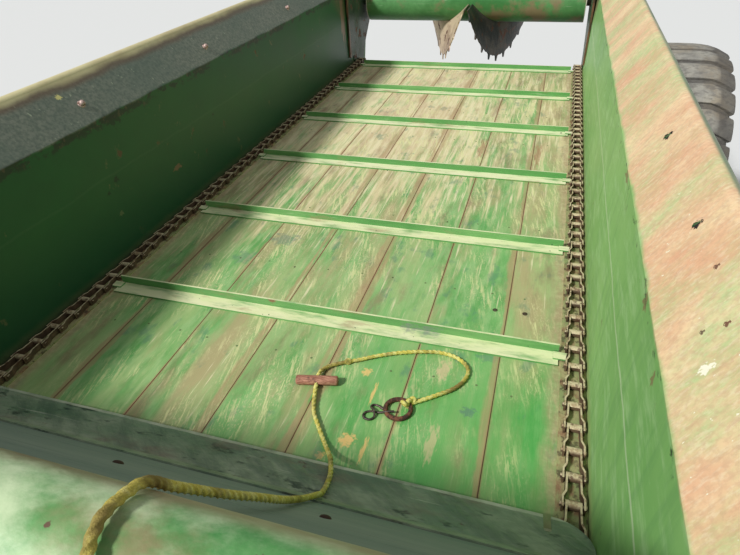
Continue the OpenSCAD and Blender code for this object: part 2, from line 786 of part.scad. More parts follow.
module axle_saddles() color("darkgreen") at_floor() both_sides()
    along_x(sill_x - 30, sill_x + sill_w) difference() {
        translate([axle_y - axle_w / 2 - 12, axle_z - axle_w / 2 + 10])
            square([axle_w + 24, axle_w - 10 + saddle_h]);
        translate([axle_y - axle_w / 2, axle_z - axle_w]) square([axle_w, 1.5 * axle_w]);
    }

// Draws an outline of radius and outward place as a ring round the wheel's axle
module wheel_ring(left) at_floor() on_side(left)
    translate([track_w / 2, axle_y, axle_z]) rotate([0, 90, 0]) rotate_extrude($fn = 96) children();

// Each groove bows across the tread, so that the lugs between are curved bars
module tyre(left) color("slategray") difference() {
    bead = rim_bead_d / 2 + snug;
    top = tyre_d / 2;
    w = tyre_w / 2;
    wheel_ring(left) polygon([
        [bead, -w + 30], [bead + 60, -w + 8], [bead + 120, -w], [top - 60, -w + 8], [top - 12, -w + 30],
        [top, -w + 90], [top, w - 90], [top - 12, w - 30], [top - 60, w - 8], [bead + 120, w],
        [bead + 60, w - 8], [bead, w - 30], [bead, w - 52], [bead + 60, w - 28], [top - 70, w - 28],
        [top - 34, w - 60], [top - 34, 60 - w], [top - 70, 28 - w], [bead + 60, 28 - w], [bead, 52 - w]
    ]);
    intersection() {
        at_floor() on_side(left) translate([track_w / 2, axle_y, axle_z])
            for (i = [0:lug_count - 1]) rotate([360 * (i + 0.5) / lug_count, 0, 0])
                translate([0, -groove_w / 2, top - 90]) linear_extrude(100)
                    polygon([
                        [-w - 5, 0], [-w / 2, 26], [w / 2, 26], [w + 5, 0], [w + 5, groove_w],
                        [w / 2, 26 + groove_w], [-w / 2, 26 + groove_w], [-w - 5, groove_w]
                    ]);
        wheel_ring(left) polygon([
            [top - 70, -w - 6], [top - 60, -w + 20], [top - groove_d - 10, -w + 40],
            [top - groove_d, -w + 92], [top - groove_d, w - 92], [top - groove_d - 10, w - 40],
            [top - 60, w - 20], [top - 70, w + 6], [top + 10, w + 6], [top + 10, -w - 6]
        ]);
    }
}
module left_tyre() tyre(true);
module right_tyre() tyre(false);

hub_r = 56;
module rim(left) color("gold") {
    seat = rim_bead_d / 2;
    well = seat - 24;
    w = tyre_w / 2 - 20;
    wheel_ring(left) sheet([
        [seat + 20, -w + 2], [seat, -w + 8], [seat, -w + 46], [well, -w + 60],
        [well, w - 60], [seat, w - 46], [seat, w - 8], [seat + 20, w - 2]
    ], -5);
    wheel_ring(left) polygon([
        [hub_r + 1, disc_x], [hub_r + 64, disc_x], [well - 4, disc_x + 16], [well - 4, disc_x + 56],
        [well - 12, disc_x + 56], [well - 12, disc_x + 24], [hub_r + 62, disc_x + 8], [hub_r + 1, disc_x + 8]
    ]);
}
module left_rim() rim(true);
module right_rim() rim(false);

module hub(left) color("gray") wheel_ring(left) {
    bore = spindle_d / 2 + running;
    polygon([
        [bore, -hub_in], [hub_r, -hub_in], [hub_r, disc_x - 14], [hub_r + 50, disc_x - 14],
        [hub_r + 50, disc_x], [hub_r, disc_x], [hub_r, disc_x + 34], [hub_r - 16, disc_x + 50],
        [0, disc_x + 50], [0, disc_x + 30], [bore, disc_x + 30]
    ]);
}
module left_hub() hub(true);
module right_hub() hub(false);

// Tongue

function rail_point(y) =
    let (k = (y - sill_front) / (plate_y - sill_front))
    [tongue_rear_x + k * (tongue_front_x - tongue_rear_x), y, tongue_rear_z + k * (hitch_z - tongue_rear_z)];

module tongue_rail(left) color("green") at_floor() on_side(left) intersection() {
    bar(rail_point(sill_front + 200), rail_point(plate_y - 200), tongue_w, tongue_h);
    translate([-wall_x, plate_y, -wall_x]) cube([2 * wall_x, sill_front - plate_y, 2 * wall_x]);
}
module tongue_left() tongue_rail(true);
module tongue_right() tongue_rail(false);

module tongue_cross() color("green") at_floor() {
    y = cross_y;
    p = rail_point(y);
    slant = tongue_w / 2 / cos(atan((tongue_rear_x - tongue_front_x) / (sill_front - plate_y)));
    w = p.x - slant - snug;
    lean = (tongue_rear_x - tongue_front_x) / (sill_front - plate_y) * 40;
    translate([0, 0, p.z - 30]) linear_extrude(60)
        polygon([[-w, y - 0], [w, y - 0], [w + lean, y + 40], [-w - lean, y + 40]]);
}

module hitch_clevis() color("darkgreen") at_floor() difference() {
    union() {
        translate([-100, plate_y - 14, hitch_z - 62]) cube([200, 14, 124]);
        for (z = [hitch_z - 42, hitch_z + 22]) translate([0, 0, z]) linear_extrude(20) {
            translate([0, hitch_y]) circle(r = nose);
            translate([-nose, hitch_y]) square([2 * nose, plate_y - 14 - hitch_y]);
        }
    }
    translate([0, hitch_y, hitch_z - 80]) cylinder(d = hitch_bore, h = 160);
}

// Jack

jack_z = rail_point(jack_y).z;
jack_top = 300;
jack_low = -floor_h + jack_travel + 60;
jack_roof = jack_z + jack_top - 10;
jack_bore = jack_d - 10;
module jack_bracket() color("green") at_floor() {
    p = rail_point(jack_y);
    slope = (tongue_rear_x - tongue_front_x) / (sill_front - plate_y);
    edge = tongue_w / 2 / cos(atan(slope));
    flat = p.x + edge + 25;
    translate([0, 0, p.z - 45]) linear_extrude(90)
        polygon([
            [p.x + edge - 50 * slope + snug, jack_y - 50], [flat, jack_y - 50], [flat, jack_y + 50],
            [p.x + edge + 50 * slope + snug, jack_y + 50]
        ]);
    translate([flat - 1, jack_y, jack_z]) rotate([0, 90, 0])
        cylinder(r = 26, h = jack_x - jack_d / 2 - flat - 6);
}

module jack_tube() color("firebrick") at_floor() {
    difference() {
        translate([jack_x, jack_y, jack_low]) cylinder(d = jack_d, h = jack_z + jack_top - jack_low);
        translate([jack_x, jack_y, jack_low - 1]) cylinder(d = jack_bore, h = jack_roof - jack_low + 1);
    }
    difference() {
        translate([jack_x - jack_d / 2 - 50, jack_y, jack_z]) rotate([0, 90, 0]) cylinder(r = 36, h = 54);
        translate([jack_x - jack_d / 2 - 51, jack_y, jack_z]) rotate([0, 90, 0])
            cylinder(r = 26 + running, h = 46);
        translate([jack_x, jack_y, jack_low]) cylinder(d = jack_d - 1, h = jack_z + jack_top - jack_low);
    }
}

grip_l = 80;
module jack_crank() color("silver") at_floor() {
    z = jack_z + jack_top + 16;
    arm_x = jack_x + 70;
    translate([jack_x, jack_y, jack_z + jack_top]) cylinder(d = 40, h = 32);
    translate([jack_x + 18, jack_y, z]) rotate([0, 90, 0]) cylinder(d = 16, h = 60);
    translate([arm_x, jack_y - 8, z - crank_arm - 8]) cube([8, 16, crank_arm + 16]);
    translate([arm_x, jack_y, z - crank_arm]) rotate([0, 90, 0]) cylinder(d = 24, h = grip_l);
}

module jack_leg() color("silver") at_floor() {
    leg_top = jack_roof - jack_travel - 6;
    translate([jack_x, jack_y, -floor_h + 8])
        cylinder(d = jack_bore - 2 * running, h = leg_top + floor_h - 8);
    translate([jack_x, jack_y, -floor_h]) cylinder(d = jack_foot_d, h = 10);
}

// Rope

rope_eye_at = [300, -915, 440];
module rope_eye() color("gray") at_floor() translate(rope_eye_at) {
    rotate([0, 90, 0]) rotate_extrude() translate([20, 0]) circle(d = 9);
    translate([0, 18, 0]) rotate([-90, 0, 0]) cylinder(d = 12, h = 30);
}

rope_route = [
    [300, -915, 465], [300, -915, 490], [296, -914, 520], [285, -905, 550], [270, -885, 571],
    [259, -863, 579], [253, -840, 581], [252, -810, 569], [252, -796, 556], [249, -778, 523],
    [248, -754, 482], [252, -725, 434], [257, -690, 379], [258, -646, 308], [243, -579, 204],
    [242, -537, 150], [233, -500, 100], [224, -448, 68], [208, -406, 48], [190, -373, 20],
    [165, -338, 6], [140, -305, 6], [116, -270, 6], [102, -232, 8], [91, -187, 11],
    [88, -160, 10], [100, -135, 7], [122, -118, 6], [160, -97, 6], [205, -70, 6],
    [250, -49, 6], [300, -33, 6], [345, -26, 6], [385, -36, 6], [411, -62, 6],
    [411, -95, 6], [392, -130, 6], [360, -158, 6], [332, -180, 6], [311, -195, 6]
];

// Point at fraction t between points i and i + 1 of a route, on a smooth curve through all
function route_point(p, i, t) =
    let (a = p[max(i - 1, 0)], b = p[i], c = p[i + 1], d = p[min(i + 2, len(p) - 1)])
    0.5 * (2 * b + (c - a) * t + (2 * a - 5 * b + 4 * c - d) * t * t + (3 * b - a - 3 * c + d) * t * t * t);

// Sideways vectors along a line of points, each turned as little as the line allows
function sideways(p, i, side) =
    i >= len(p) ? [] :
    let (along = unit(p[min(i + 1, len(p) - 1)] - p[max(i - 1, 0)]))
    let (flat = unit(side - (side * along) * along))
    concat([[along, flat]], sideways(p, i + 1, flat));

function tube_rings(p, r, sides) = [
    for (i = [0:len(p) - 1])
        let (frame = sideways(p, 0, [1, 0, 0])[i])
            [for (j = [0:sides - 1])
                let (a = -360 * j / sides)
                    p[i] + r * (cos(a) * frame[1] + sin(a) * cross(frame[0], frame[1]))]
];

module rope() color("khaki") at_floor() {
    line = concat(
        [for (i = [0:len(rope_route) - 2]) for (t = [0, 0.5]) route_point(rope_route, i, t)],
        [rope_route[len(rope_route) - 1]]
    );
    skin(tube_rings(line, rope_d / 2, 8));
}

handle_at = [91, -187, 11.3];
module rope_handle() color("rosybrown") at_floor() translate(handle_at) rotate([0, 0, 12]) difference() {
    translate([-48, 0, 0]) rotate([0, 90, 0]) cylinder(d = 22, h = 96);
    rotate([90, 0, 0]) cylinder(d = rope_d + 3, h = 40, center = true);
}

module rope_ring() color("saddlebrown") at_floor() translate([287, -217, 5 + snug])
    rotate_extrude() translate([27, 0]) circle(d = 10);

module rope_clip() color("gray") at_floor() translate([236, -239, 2.6])
    rotate_extrude() translate([18, 0]) circle(d = 5);

floor_boards();
chain_guides();
side_left();
side_right();
rear_plate_left();
rear_plate_right();
stakes_left();
stakes_right();
sill_left();
sill_right();
cross_sills();
front_boards();
front_frame();
front_flap();
front_rail();
apron_chain_left();
apron_chain_right();
apron_slats();
apron_drive_shaft();
apron_idler_shaft();
shaft_bearings();
apron_gearbox();
bevel_gearbox();
chain_guard();
line_bearings();
line_shaft();
driveline();
driveline_hanger();
beater_tube();
beater_flights();
beater_shaft();
axle();
axle_saddles();
left_tyre();
left_rim();
left_hub();
right_tyre();
right_rim();
right_hub();
tongue_left();
tongue_right();
tongue_cross();
hitch_clevis();
jack_bracket();
jack_tube();
jack_crank();
jack_leg();
rope_eye();
rope();
rope_handle();
rope_ring();
rope_clip();
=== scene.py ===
import math
import random

import bmesh
import bpy
from mathutils import Matrix, Vector


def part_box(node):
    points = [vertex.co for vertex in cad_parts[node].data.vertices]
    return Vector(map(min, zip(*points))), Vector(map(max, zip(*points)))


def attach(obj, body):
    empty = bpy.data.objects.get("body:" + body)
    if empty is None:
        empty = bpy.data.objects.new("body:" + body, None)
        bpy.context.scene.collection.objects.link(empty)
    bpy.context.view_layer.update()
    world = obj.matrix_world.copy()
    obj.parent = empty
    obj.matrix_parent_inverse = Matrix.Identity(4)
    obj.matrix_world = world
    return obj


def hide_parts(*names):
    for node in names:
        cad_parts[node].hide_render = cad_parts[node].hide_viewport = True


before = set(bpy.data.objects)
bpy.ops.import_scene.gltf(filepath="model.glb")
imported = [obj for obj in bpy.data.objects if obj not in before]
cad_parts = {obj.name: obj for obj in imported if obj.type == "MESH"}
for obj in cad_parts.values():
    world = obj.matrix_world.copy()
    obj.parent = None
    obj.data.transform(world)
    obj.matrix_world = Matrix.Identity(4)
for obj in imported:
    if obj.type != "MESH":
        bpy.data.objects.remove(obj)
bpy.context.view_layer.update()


def add_object(name, data):
    """Puts a mesh, a lamp or a camera into the scene."""
    made = bpy.data.objects.new(name, data)
    bpy.context.scene.collection.objects.link(made)
    return made


# The view over the front of the box, from eye height at its right front, looking back
# and down over the floor to the beater.
camera = add_object("camera", bpy.data.cameras.new("camera"))
camera.data.sensor_width = 36
camera.data.lens = 27.01
camera.data.clip_start = 0.05
looks = Matrix(
    ((0.955742, 0.290678, -0.045434), (-0.133833, 0.567072, 0.812723), (0.262005, -0.770673, 0.580876))
)
camera.matrix_world = Matrix.Translation((0.50183, -1.27437, 1.6056)) @ looks.transposed().to_4x4()
bpy.context.scene.camera = camera

# Rope: yellow three-strand rope that works something on the tractor side. It is tied to an eye on
# the front frame and runs over the front rail and down the boards to a handle and a ring.
rope_radius = 0.005
rope_lay = 0.036
rope_step = 0.004
rope_route = [
    (0.300, -1.204, 1.150), (0.300, -1.204, 1.175), (0.296, -1.203, 1.205), (0.285, -1.194, 1.235),
    (0.270, -1.174, 1.256), (0.259, -1.152, 1.264), (0.253, -1.129, 1.266), (0.252, -1.099, 1.254),
    (0.252, -1.085, 1.241), (0.249, -1.067, 1.208), (0.248, -1.043, 1.167), (0.252, -1.014, 1.119),
    (0.257, -0.979, 1.064), (0.258, -0.935, 0.993), (0.243, -0.868, 0.889), (0.242, -0.826, 0.835),
    (0.233, -0.789, 0.785), (0.224, -0.737, 0.753), (0.208, -0.695, 0.733), (0.190, -0.662, 0.705),
    (0.165, -0.627, 0.691), (0.140, -0.594, 0.691), (0.116, -0.559, 0.691), (0.102, -0.521, 0.693),
    (0.091, -0.476, 0.696), (0.088, -0.449, 0.695), (0.100, -0.424, 0.692), (0.122, -0.407, 0.691),
    (0.160, -0.386, 0.691), (0.205, -0.359, 0.691), (0.250, -0.338, 0.691), (0.300, -0.322, 0.691),
    (0.345, -0.315, 0.691), (0.385, -0.325, 0.691), (0.411, -0.351, 0.691), (0.411, -0.384, 0.691),
    (0.392, -0.419, 0.691), (0.360, -0.447, 0.691), (0.332, -0.469, 0.691), (0.311, -0.484, 0.691),
]


def smooth_line(points, parts):
    """Points on a smooth curve through all the given ones."""
    points = [Vector(p) for p in points]
    line = []
    for i in range(len(points) - 1):
        a, b = points[max(i - 1, 0)], points[i]
        c, d = points[i + 1], points[min(i + 2, len(points) - 1)]
        square, cube = 2 * a - 5 * b + 4 * c - d, 3 * b - a - 3 * c + d
        for k in range(parts):
            t = k / parts
            line.append(0.5 * (2 * b + (c - a) * t + square * t * t + cube * t**3))
    return line + [points[-1]]


def evenly(line, step):
    """The same line with its points a step apart."""
    made, left = [line[0]], step
    for a, b in zip(line, line[1:]):
        gap = (b - a).length
        at = left
        while at <= gap:
            made.append(a.lerp(b, at / gap))
            at += step
        left = at - gap
    return made + [line[-1]]


def turned_along(line, side):
    """A matrix at each point of a line, its Z along the line, turned as little as the line allows."""
    made = []
    for i, point in enumerate(line):
        along = (line[min(i + 1, len(line) - 1)] - line[max(i - 1, 0)]).normalized()
        side = (side - side.dot(along) * along).normalized()
        turn = Matrix((side, along.cross(side), along)).transposed().to_4x4()
        made.append(Matrix.Translation(point) @ turn)
    return made


def pull_along(shape, outline, places):
    """Draws a closed outline through a row of places, by extruding it from each to the next."""
    points = [shape.verts.new(places[0] @ Vector((x, y, 0))) for x, y in outline]
    first = [shape.edges.new((points[i - 1], points[i])) for i in range(len(points))]
    rim = first
    for before, after in zip(places, places[1:]):
        grown = bmesh.ops.extrude_edge_only(shape, edges=rim)["geom"]
        rim = [g for g in grown if isinstance(g, bmesh.types.BMEdge)]
        new = [g for g in grown if isinstance(g, bmesh.types.BMVert)]
        bmesh.ops.transform(shape, matrix=after @ before.inverted(), verts=new)
    bmesh.ops.contextual_create(shape, geom=first)
    bmesh.ops.contextual_create(shape, geom=rim)


def as_mesh(name, shape):
    """A mesh of a finished shape, which is given up."""
    mesh = bpy.data.meshes.new(name)
    shape.to_mesh(mesh)
    shape.free()
    return mesh


def finish_piece(name, shape, material, body="machine", smooth=40):
    """Makes an object of a shape, with its sharp edges kept sharp, and lets it ride on its body."""
    bmesh.ops.recalc_face_normals(shape, faces=shape.faces)
    for face in shape.faces:
        face.smooth = True
    for edge in shape.edges:
        edge.smooth = not edge.is_manifold or edge.calc_face_angle(0) < math.radians(smooth)
    piece = add_object(name, as_mesh(name, shape))
    piece.data.materials.append(material)
    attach(piece, body)
    return piece


def paint(red, green, blue):
    """A colour from its usual 0 to 255 levels, as light."""
    return [((c / 255 + 0.055) / 1.055) ** 2.4 if c > 10 else c / 3295 for c in (red, green, blue)] + [1]


def wire(kind, inputs={}, tree=None, **settings):
    """Adds a shader node, with each input set, or linked where it is another node's socket."""
    linked = [name for name, value in inputs.items() if isinstance(value, bpy.types.NodeSocket)]
    tree = inputs[linked[0]].id_data if linked else tree
    made = tree.nodes.new(kind if kind.startswith("NodeGroup") else "ShaderNode" + kind)
    for name, value in settings.items():
        setattr(made, name, value)
    for name, value in inputs.items():
        if name in linked:
            tree.links.new(value, made.inputs[name])
        else:
            made.inputs[name].default_value = value
    return made


def lead(inputs, values):
    """Links each finished value to the input of its name."""
    for name, value in values.items():
        value.id_data.links.new(value, inputs[name])


def sums(operation, *values):
    """Brings one to three values together by an operation."""
    return wire("Math", dict(enumerate(values)), operation=operation).outputs[0]


def times(value, factor):
    """A value multiplied by a factor."""
    return sums("MULTIPLY", value, factor)


def scaled(value, factor, added):
    """A value multiplied by a factor, with another added."""
    return sums("MULTIPLY_ADD", value, factor, added)


def cover(under, over, mask, strength=1):
    """Lays one colour over another where the mask is 1. Three levels make a paint."""
    under, over = (paint(*c) if isinstance(c, tuple) and len(c) == 3 else c for c in (under, over))
    if strength != 1:
        mask = times(mask, strength)
    return wire("Mix", {0: mask, 6: under, 7: over}, data_type="RGBA").outputs[2]


def ease(value, low, high):
    """Goes smoothly from 0 at low to 1 at high."""
    inputs = {"Value": value, "From Min": low, "From Max": high}
    return wire("MapRange", inputs, interpolation_type="SMOOTHSTEP").outputs[0]


def axes(vector):
    """The x, y and z of a place or a direction."""
    return wire("SeparateXYZ", {0: vector}).outputs


def face_way(spot):
    """The x, y and z of the way the surface faces."""
    return axes(wire("NewGeometry", tree=spot.id_data).outputs["Normal"])


def new_group(name, inputs, outputs):
    """An empty node group, the outputs of its input node and the inputs of its output node."""
    group = bpy.data.node_groups.new(name, "ShaderNodeTree")
    for label, value in inputs.items():
        kind = "NodeSocketFloat"
        if not isinstance(value, (int, float)):
            kind = "NodeSocketColor" if len(value) == 4 else "NodeSocketVector"
        group.interface.new_socket(label, in_out="INPUT", socket_type=kind).default_value = value
    for label, kind in outputs.items():
        group.interface.new_socket(label, in_out="OUTPUT", socket_type="NodeSocket" + kind)
    return group, wire("NodeGroupInput", tree=group).outputs, wire("NodeGroupOutput", tree=group).inputs


# Irregular patches that cover a given share of a surface, longer one way where they are stretched
patches_group, given, put = new_group(
    "Worn patches",
    {"Vector": (0, 0, 0), "Stretch": (1, 1, 1), "Scale": 5.0, "Amount": 0.3, "Softness": 0.05, "Detail": 6.0},
    {"Mask": "Float"},
)
moved = wire("Mapping", {"Vector": given["Vector"], "Scale": given["Stretch"]}).outputs[0]
noise = {"Vector": moved, "Scale": given["Scale"], "Detail": given["Detail"], "Roughness": 0.62}
field = wire("TexNoise", noise).outputs[0]
level = scaled(given["Amount"], -0.4, 0.7)
low, high = sums("SUBTRACT", level, given["Softness"]), sums("ADD", level, given["Softness"])
lead(put, {"Mask": ease(field, low, high)})


def patches(spot, scale, amount, softness=0.05, stretch=(1, 1, 1), detail=6.0):
    """A mask of worn patches."""
    inputs = {"Vector": spot, "Stretch": stretch, "Scale": scale, "Amount": amount, "Softness": softness}
    return wire("Group", {**inputs, "Detail": detail}, node_tree=patches_group).outputs["Mask"]


def new_material(name, roughness=0.6, metallic=0.0):
    """A material, its shader's inputs and the place on the piece."""
    material = bpy.data.materials.new(name)
    material.use_nodes = True
    tree = material.node_tree
    shader = tree.nodes["Principled BSDF"].inputs
    shader["Roughness"].default_value = roughness
    shader["Metallic"].default_value = metallic
    return material, shader, wire("TexCoord", tree=tree).outputs["Object"]


def join(shader, colour, roughness=None, height=None, depth=0.002, strength=0.6):
    """Leads a finished colour, roughness and height to the shader."""
    lead(shader, {"Base Color": colour})
    if roughness is not None:
        lead(shader, {"Roughness": roughness})
    if height is not None:
        bump = wire("Bump", {"Height": height, "Distance": depth, "Strength": strength})
        lead(shader, {"Normal": bump.outputs[0]})


def mark(spot, at, size, softness=0.35):
    """A mask for one mark of a given place and half size, with a ragged edge."""
    moved = wire("Mapping", {"Vector": spot, "Location": at, "Scale": size}, vector_type="TEXTURE").outputs[0]
    reach = wire("VectorMath", {0: moved}, operation="LENGTH").outputs["Value"]
    ragged = wire("TexNoise", {"Vector": moved, "Scale": 1.9, "Detail": 6.0}).outputs[0]
    return ease(scaled(ragged, 2.6, sums("SUBTRACT", reach, 1.3)), 1.0, 1.0 - softness)


rope_yellow, shader, spot = new_material("rope_yellow", 0.75)
colour = cover((220, 206, 92), (240, 232, 140), patches(spot, 90, 0.5))
colour = cover(colour, (140, 122, 60), patches(spot, 14, 0.35, 0.1))
fibres = patches(spot, 900, 0.5, 0.2, detail=2)
join(shader, cover(colour, (120, 104, 40), fibres, 0.35), height=fibres, depth=0.0006)

strand = rope_radius / (1 + 2 / math.sqrt(3))
rope_outline = []
for lobe in (0, 120, 240):
    for turn in (-75, -45, -15, 15, 45, 75):
        a, b = math.radians(lobe), math.radians(lobe + turn)
        middle = strand * 2 / math.sqrt(3)
        rope_outline.append(
            (middle * math.cos(a) + strand * math.cos(b), middle * math.sin(a) + strand * math.sin(b))
        )
rope_line = evenly(smooth_line(rope_route, 8), rope_step)
rope_places = [
    place @ Matrix.Rotation(i * rope_step / rope_lay * math.tau, 4, "Z")
    for i, place in enumerate(turned_along(rope_line, Vector((1, 0, 0))))
]
shape = bmesh.new()
pull_along(shape, rope_outline, rope_places)
rope = finish_piece("rope_strands", shape, rope_yellow, smooth=80)
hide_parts("rope")

# Handle of the rope: a short piece of turned broom handle, weathered grey-pink, drilled through
# its middle for the rope, with the ends rounded over by wear.
handle_at = Vector((0.091, -0.476, 0.6963))
z_to_x = Matrix.Rotation(math.pi / 2, 4, "Y")


def rod(shape, sides, radius, length, place, end=None):
    """A round or many-sided rod, along the Z of its place."""
    far = end or radius
    bmesh.ops.create_cone(
        shape, cap_ends=True, segments=sides, radius1=radius, radius2=far, depth=length, matrix=place
    )


handle_wood, shader, spot = new_material("handle_wood", 0.7)
grain = patches(spot, 60, 0.5, 0.12, (0.6, 6, 6))
colour = cover((196, 142, 116), (150, 96, 74), grain)
colour = cover(colour, (110, 72, 56), patches(spot, 35, 0.25, 0.06))
join(shader, colour, height=grain, depth=0.0008)
shape = bmesh.new()
place = Matrix.Translation(handle_at) @ Matrix.Rotation(math.radians(12), 4, "Z") @ z_to_x
rod(shape, 24, 0.011, 0.096, place)
ends = [e for e in shape.edges if len(e.link_faces) == 2 and e.calc_face_angle(0) > 1]
bmesh.ops.bevel(shape, geom=ends, offset=0.004, segments=3, profile=0.5, affect="EDGES", material=-1)
handle = finish_piece("handle", shape, handle_wood, smooth=50)
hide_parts("rope_handle")

# Ring and clip: a thick forged ring, rusty all over, tied to the rope's end, and a bent wire
# hairpin clip with its tail through the ring.
ring_at = Vector((0.287, -0.506, 0.6903))
clip_at = Vector((0.236, -0.528, 0.6876))
ring_rust, shader, spot = new_material("ring_rust", 0.85, 0.2)
colour = cover((74, 50, 40), (122, 78, 56), patches(spot, 120, 0.45))
join(shader, colour, height=patches(spot, 300, 0.5, 0.2), depth=0.0008)
clip_steel, shader, spot = new_material("clip_steel", 0.5, 0.7)
join(shader, cover((74, 66, 60), (120, 104, 92), patches(spot, 80, 0.4)))


def ring_shape(shape, middle, radius, thick, sides=12, turns=48, place=Matrix()):
    """A round ring, spun from a round wire."""
    section = Matrix.Translation((radius, 0, 0)) @ Matrix.Rotation(math.pi / 2, 4, "X")
    bmesh.ops.create_circle(shape, segments=sides, radius=thick / 2, matrix=section)
    geom = shape.verts[:] + shape.edges[:]
    bmesh.ops.spin(
        shape, geom=geom, axis=(0, 0, 1), cent=(0, 0, 0), steps=turns, angle=math.tau, use_merge=True
    )
    bmesh.ops.transform(shape, matrix=Matrix.Translation(middle) @ place, verts=shape.verts)


shape = bmesh.new()
ring_shape(shape, ring_at, 0.027, 0.010)
ring = finish_piece("ring", shape, ring_rust)
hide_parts("rope_ring")

clip_points = [
    (0.046, 0.010, 0.007), (0.030, 0.006, 0.006), (0.012, 0.004, 0), (-0.004, 0.004, 0), (-0.016, -0.004, 0),
    (-0.014, -0.016, 0), (-0.002, -0.019, 0), (0.007, -0.011, 0.001), (0.004, 0.002, 0.006),
    (-0.006, 0.013, 0.002), (-0.004, 0.022, 0), (0.008, 0.022, 0), (0.020, 0.016, 0), (0.030, 0.020, 0),
]
clip_line = turned_along(evenly(smooth_line(clip_points, 6), 0.003), Vector((0, 0, 1)))
shape = bmesh.new()
wire_radius = 0.0025
angles = [i * math.tau / 8 for i in range(8)]
wire_outline = [(wire_radius * math.cos(a), wire_radius * math.sin(a)) for a in angles]
pull_along(shape, wire_outline, [Matrix.Translation(clip_at) @ place for place in clip_line])
clip = finish_piece("hairpin_clip", shape, clip_steel, smooth=80)
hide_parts("rope_clip")

# Knots: an overhand knot in the rope past the handle, and the lump of turns that ties it to
# the ring. The strands fray a little where they are knotted.
shape = bmesh.new()
for middle, size, lean in (
    ((0.139, -0.398, 0.6925), 0.0085, 25), ((0.307, -0.488, 0.6935), 0.0115, 70),
    ((0.298, -0.497, 0.7005), 0.009, 150), ((0.313, -0.479, 0.697), 0.008, 10),
):
    lump = bmesh.new()
    ring_shape(
        lump, Vector(middle), size * 0.62, size * 0.9, sides=8, turns=14,
        place=Matrix.Rotation(math.radians(lean), 4, "Z") @ Matrix.Rotation(math.radians(72), 4, "X"),
    )
    spare = as_mesh("lump", lump)
    shape.from_mesh(spare)
    bpy.data.meshes.remove(spare)
knots = finish_piece("rope_knots", shape, rope_yellow, smooth=60)

# Floor: seven pine boards, tongued and grooved, nailed to the cross sills. The green paint is
# worn through to the wood along the grain, most at the rear, and brown along the joints.
def dress(material, *nodes):
    """Gives solids of the frame their material."""
    for node in nodes:
        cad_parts[node].data.materials.clear()
        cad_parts[node].data.materials.append(material)


board_count = 7
box_half = 0.668
floor_top = 0.685
board_w = 2 * box_half / board_count
floor_wood, shader, spot = new_material("floor_wood", 0.7)
place = axes(spot)
across, along = place[0], place[1]
share = sums("DIVIDE", sums("ADD", across, box_half), board_w)
board = sums("FLOOR", share)
luck = wire("TexWhiteNoise", {"W": board}, noise_dimensions="1D").outputs["Value"]
luck_2 = wire("TexWhiteNoise", {"W": sums("ADD", board, 31.7)}, noise_dimensions="1D").outputs["Value"]
grain_spot = wire("CombineXYZ", {0: across, 1: scaled(luck, 7.0, along), 2: times(board, 0.43)}).outputs[0]
rear = times(ease(along, -0.5, 1.2), scaled(ease(across, 0.05, 0.4), -0.42, 1.0))
# Paint, from fresh to faded, then the thin yellowed and browned coats that each board has its own share of
colour = cover((88, 156, 78), (124, 180, 104), patches(grain_spot, 3.4, 0.5, 0.16, (2.0, 0.9, 1)))
colour = cover(colour, (160, 196, 132), patches(grain_spot, 9, 0.46, 0.14, (5, 1.2, 1)), 0.6)
yellowed = patches(grain_spot, 2.4, scaled(luck_2, 0.5, 0.26), 0.14, (3, 0.6, 1))
colour = cover(colour, (176, 190, 128), yellowed, 0.8)
browned = sums("ADD", times(rear, 0.2), scaled(luck, 0.36, 0.08))
browned = patches(grain_spot, 3.4, browned, 0.12, (4, 0.8, 1))
colour = cover(colour, (182, 158, 118), browned, 0.7)
# Bare wood: grey tan and cream streaks along the grain, most of the surface near the beater
worn = patches(grain_spot, 3.6, scaled(rear, 0.75, 0.0), 0.09, (10, 0.8, 1))
colour = cover(colour, (222, 206, 160), worn, 0.85)
bare = patches(grain_spot, 5.0, scaled(rear, 0.5, 0.04), 0.07, (22, 1.1, 1))
colour = cover(colour, (234, 222, 180), bare, 0.8)
kept = times(patches(grain_spot, 4.4, scaled(luck_2, 0.3, 0.1), 0.14, (4, 1.4, 1)), rear)
colour = cover(colour, (134, 186, 118), kept, 0.75)
tanned = times(patches(grain_spot, 5.0, scaled(luck, 0.3, 0.1), 0.16, (3, 0.9, 1)), rear)
colour = cover(colour, (190, 158, 126), tanned, 0.6)
# Scratches slant a little across the boards, and lie in clusters with fine specks between them
leaning = wire("Mapping", {"Vector": grain_spot, "Rotation": (0, 0, math.radians(-12))}).outputs[0]
clusters = patches(grain_spot, 4.2, 0.42, 0.1, (2, 1, 1))
scratches = patches(leaning, 2.0, 0.34, 0.03, (70, 6, 1), 3)
colour = cover(colour, (224, 222, 160), times(scratches, clusters), 0.75)
speckle = patches(grain_spot, 120, 0.3, 0.05, (2.5, 1, 1), 3)
colour = cover(colour, (214, 206, 156), times(speckle, clusters), 0.6)
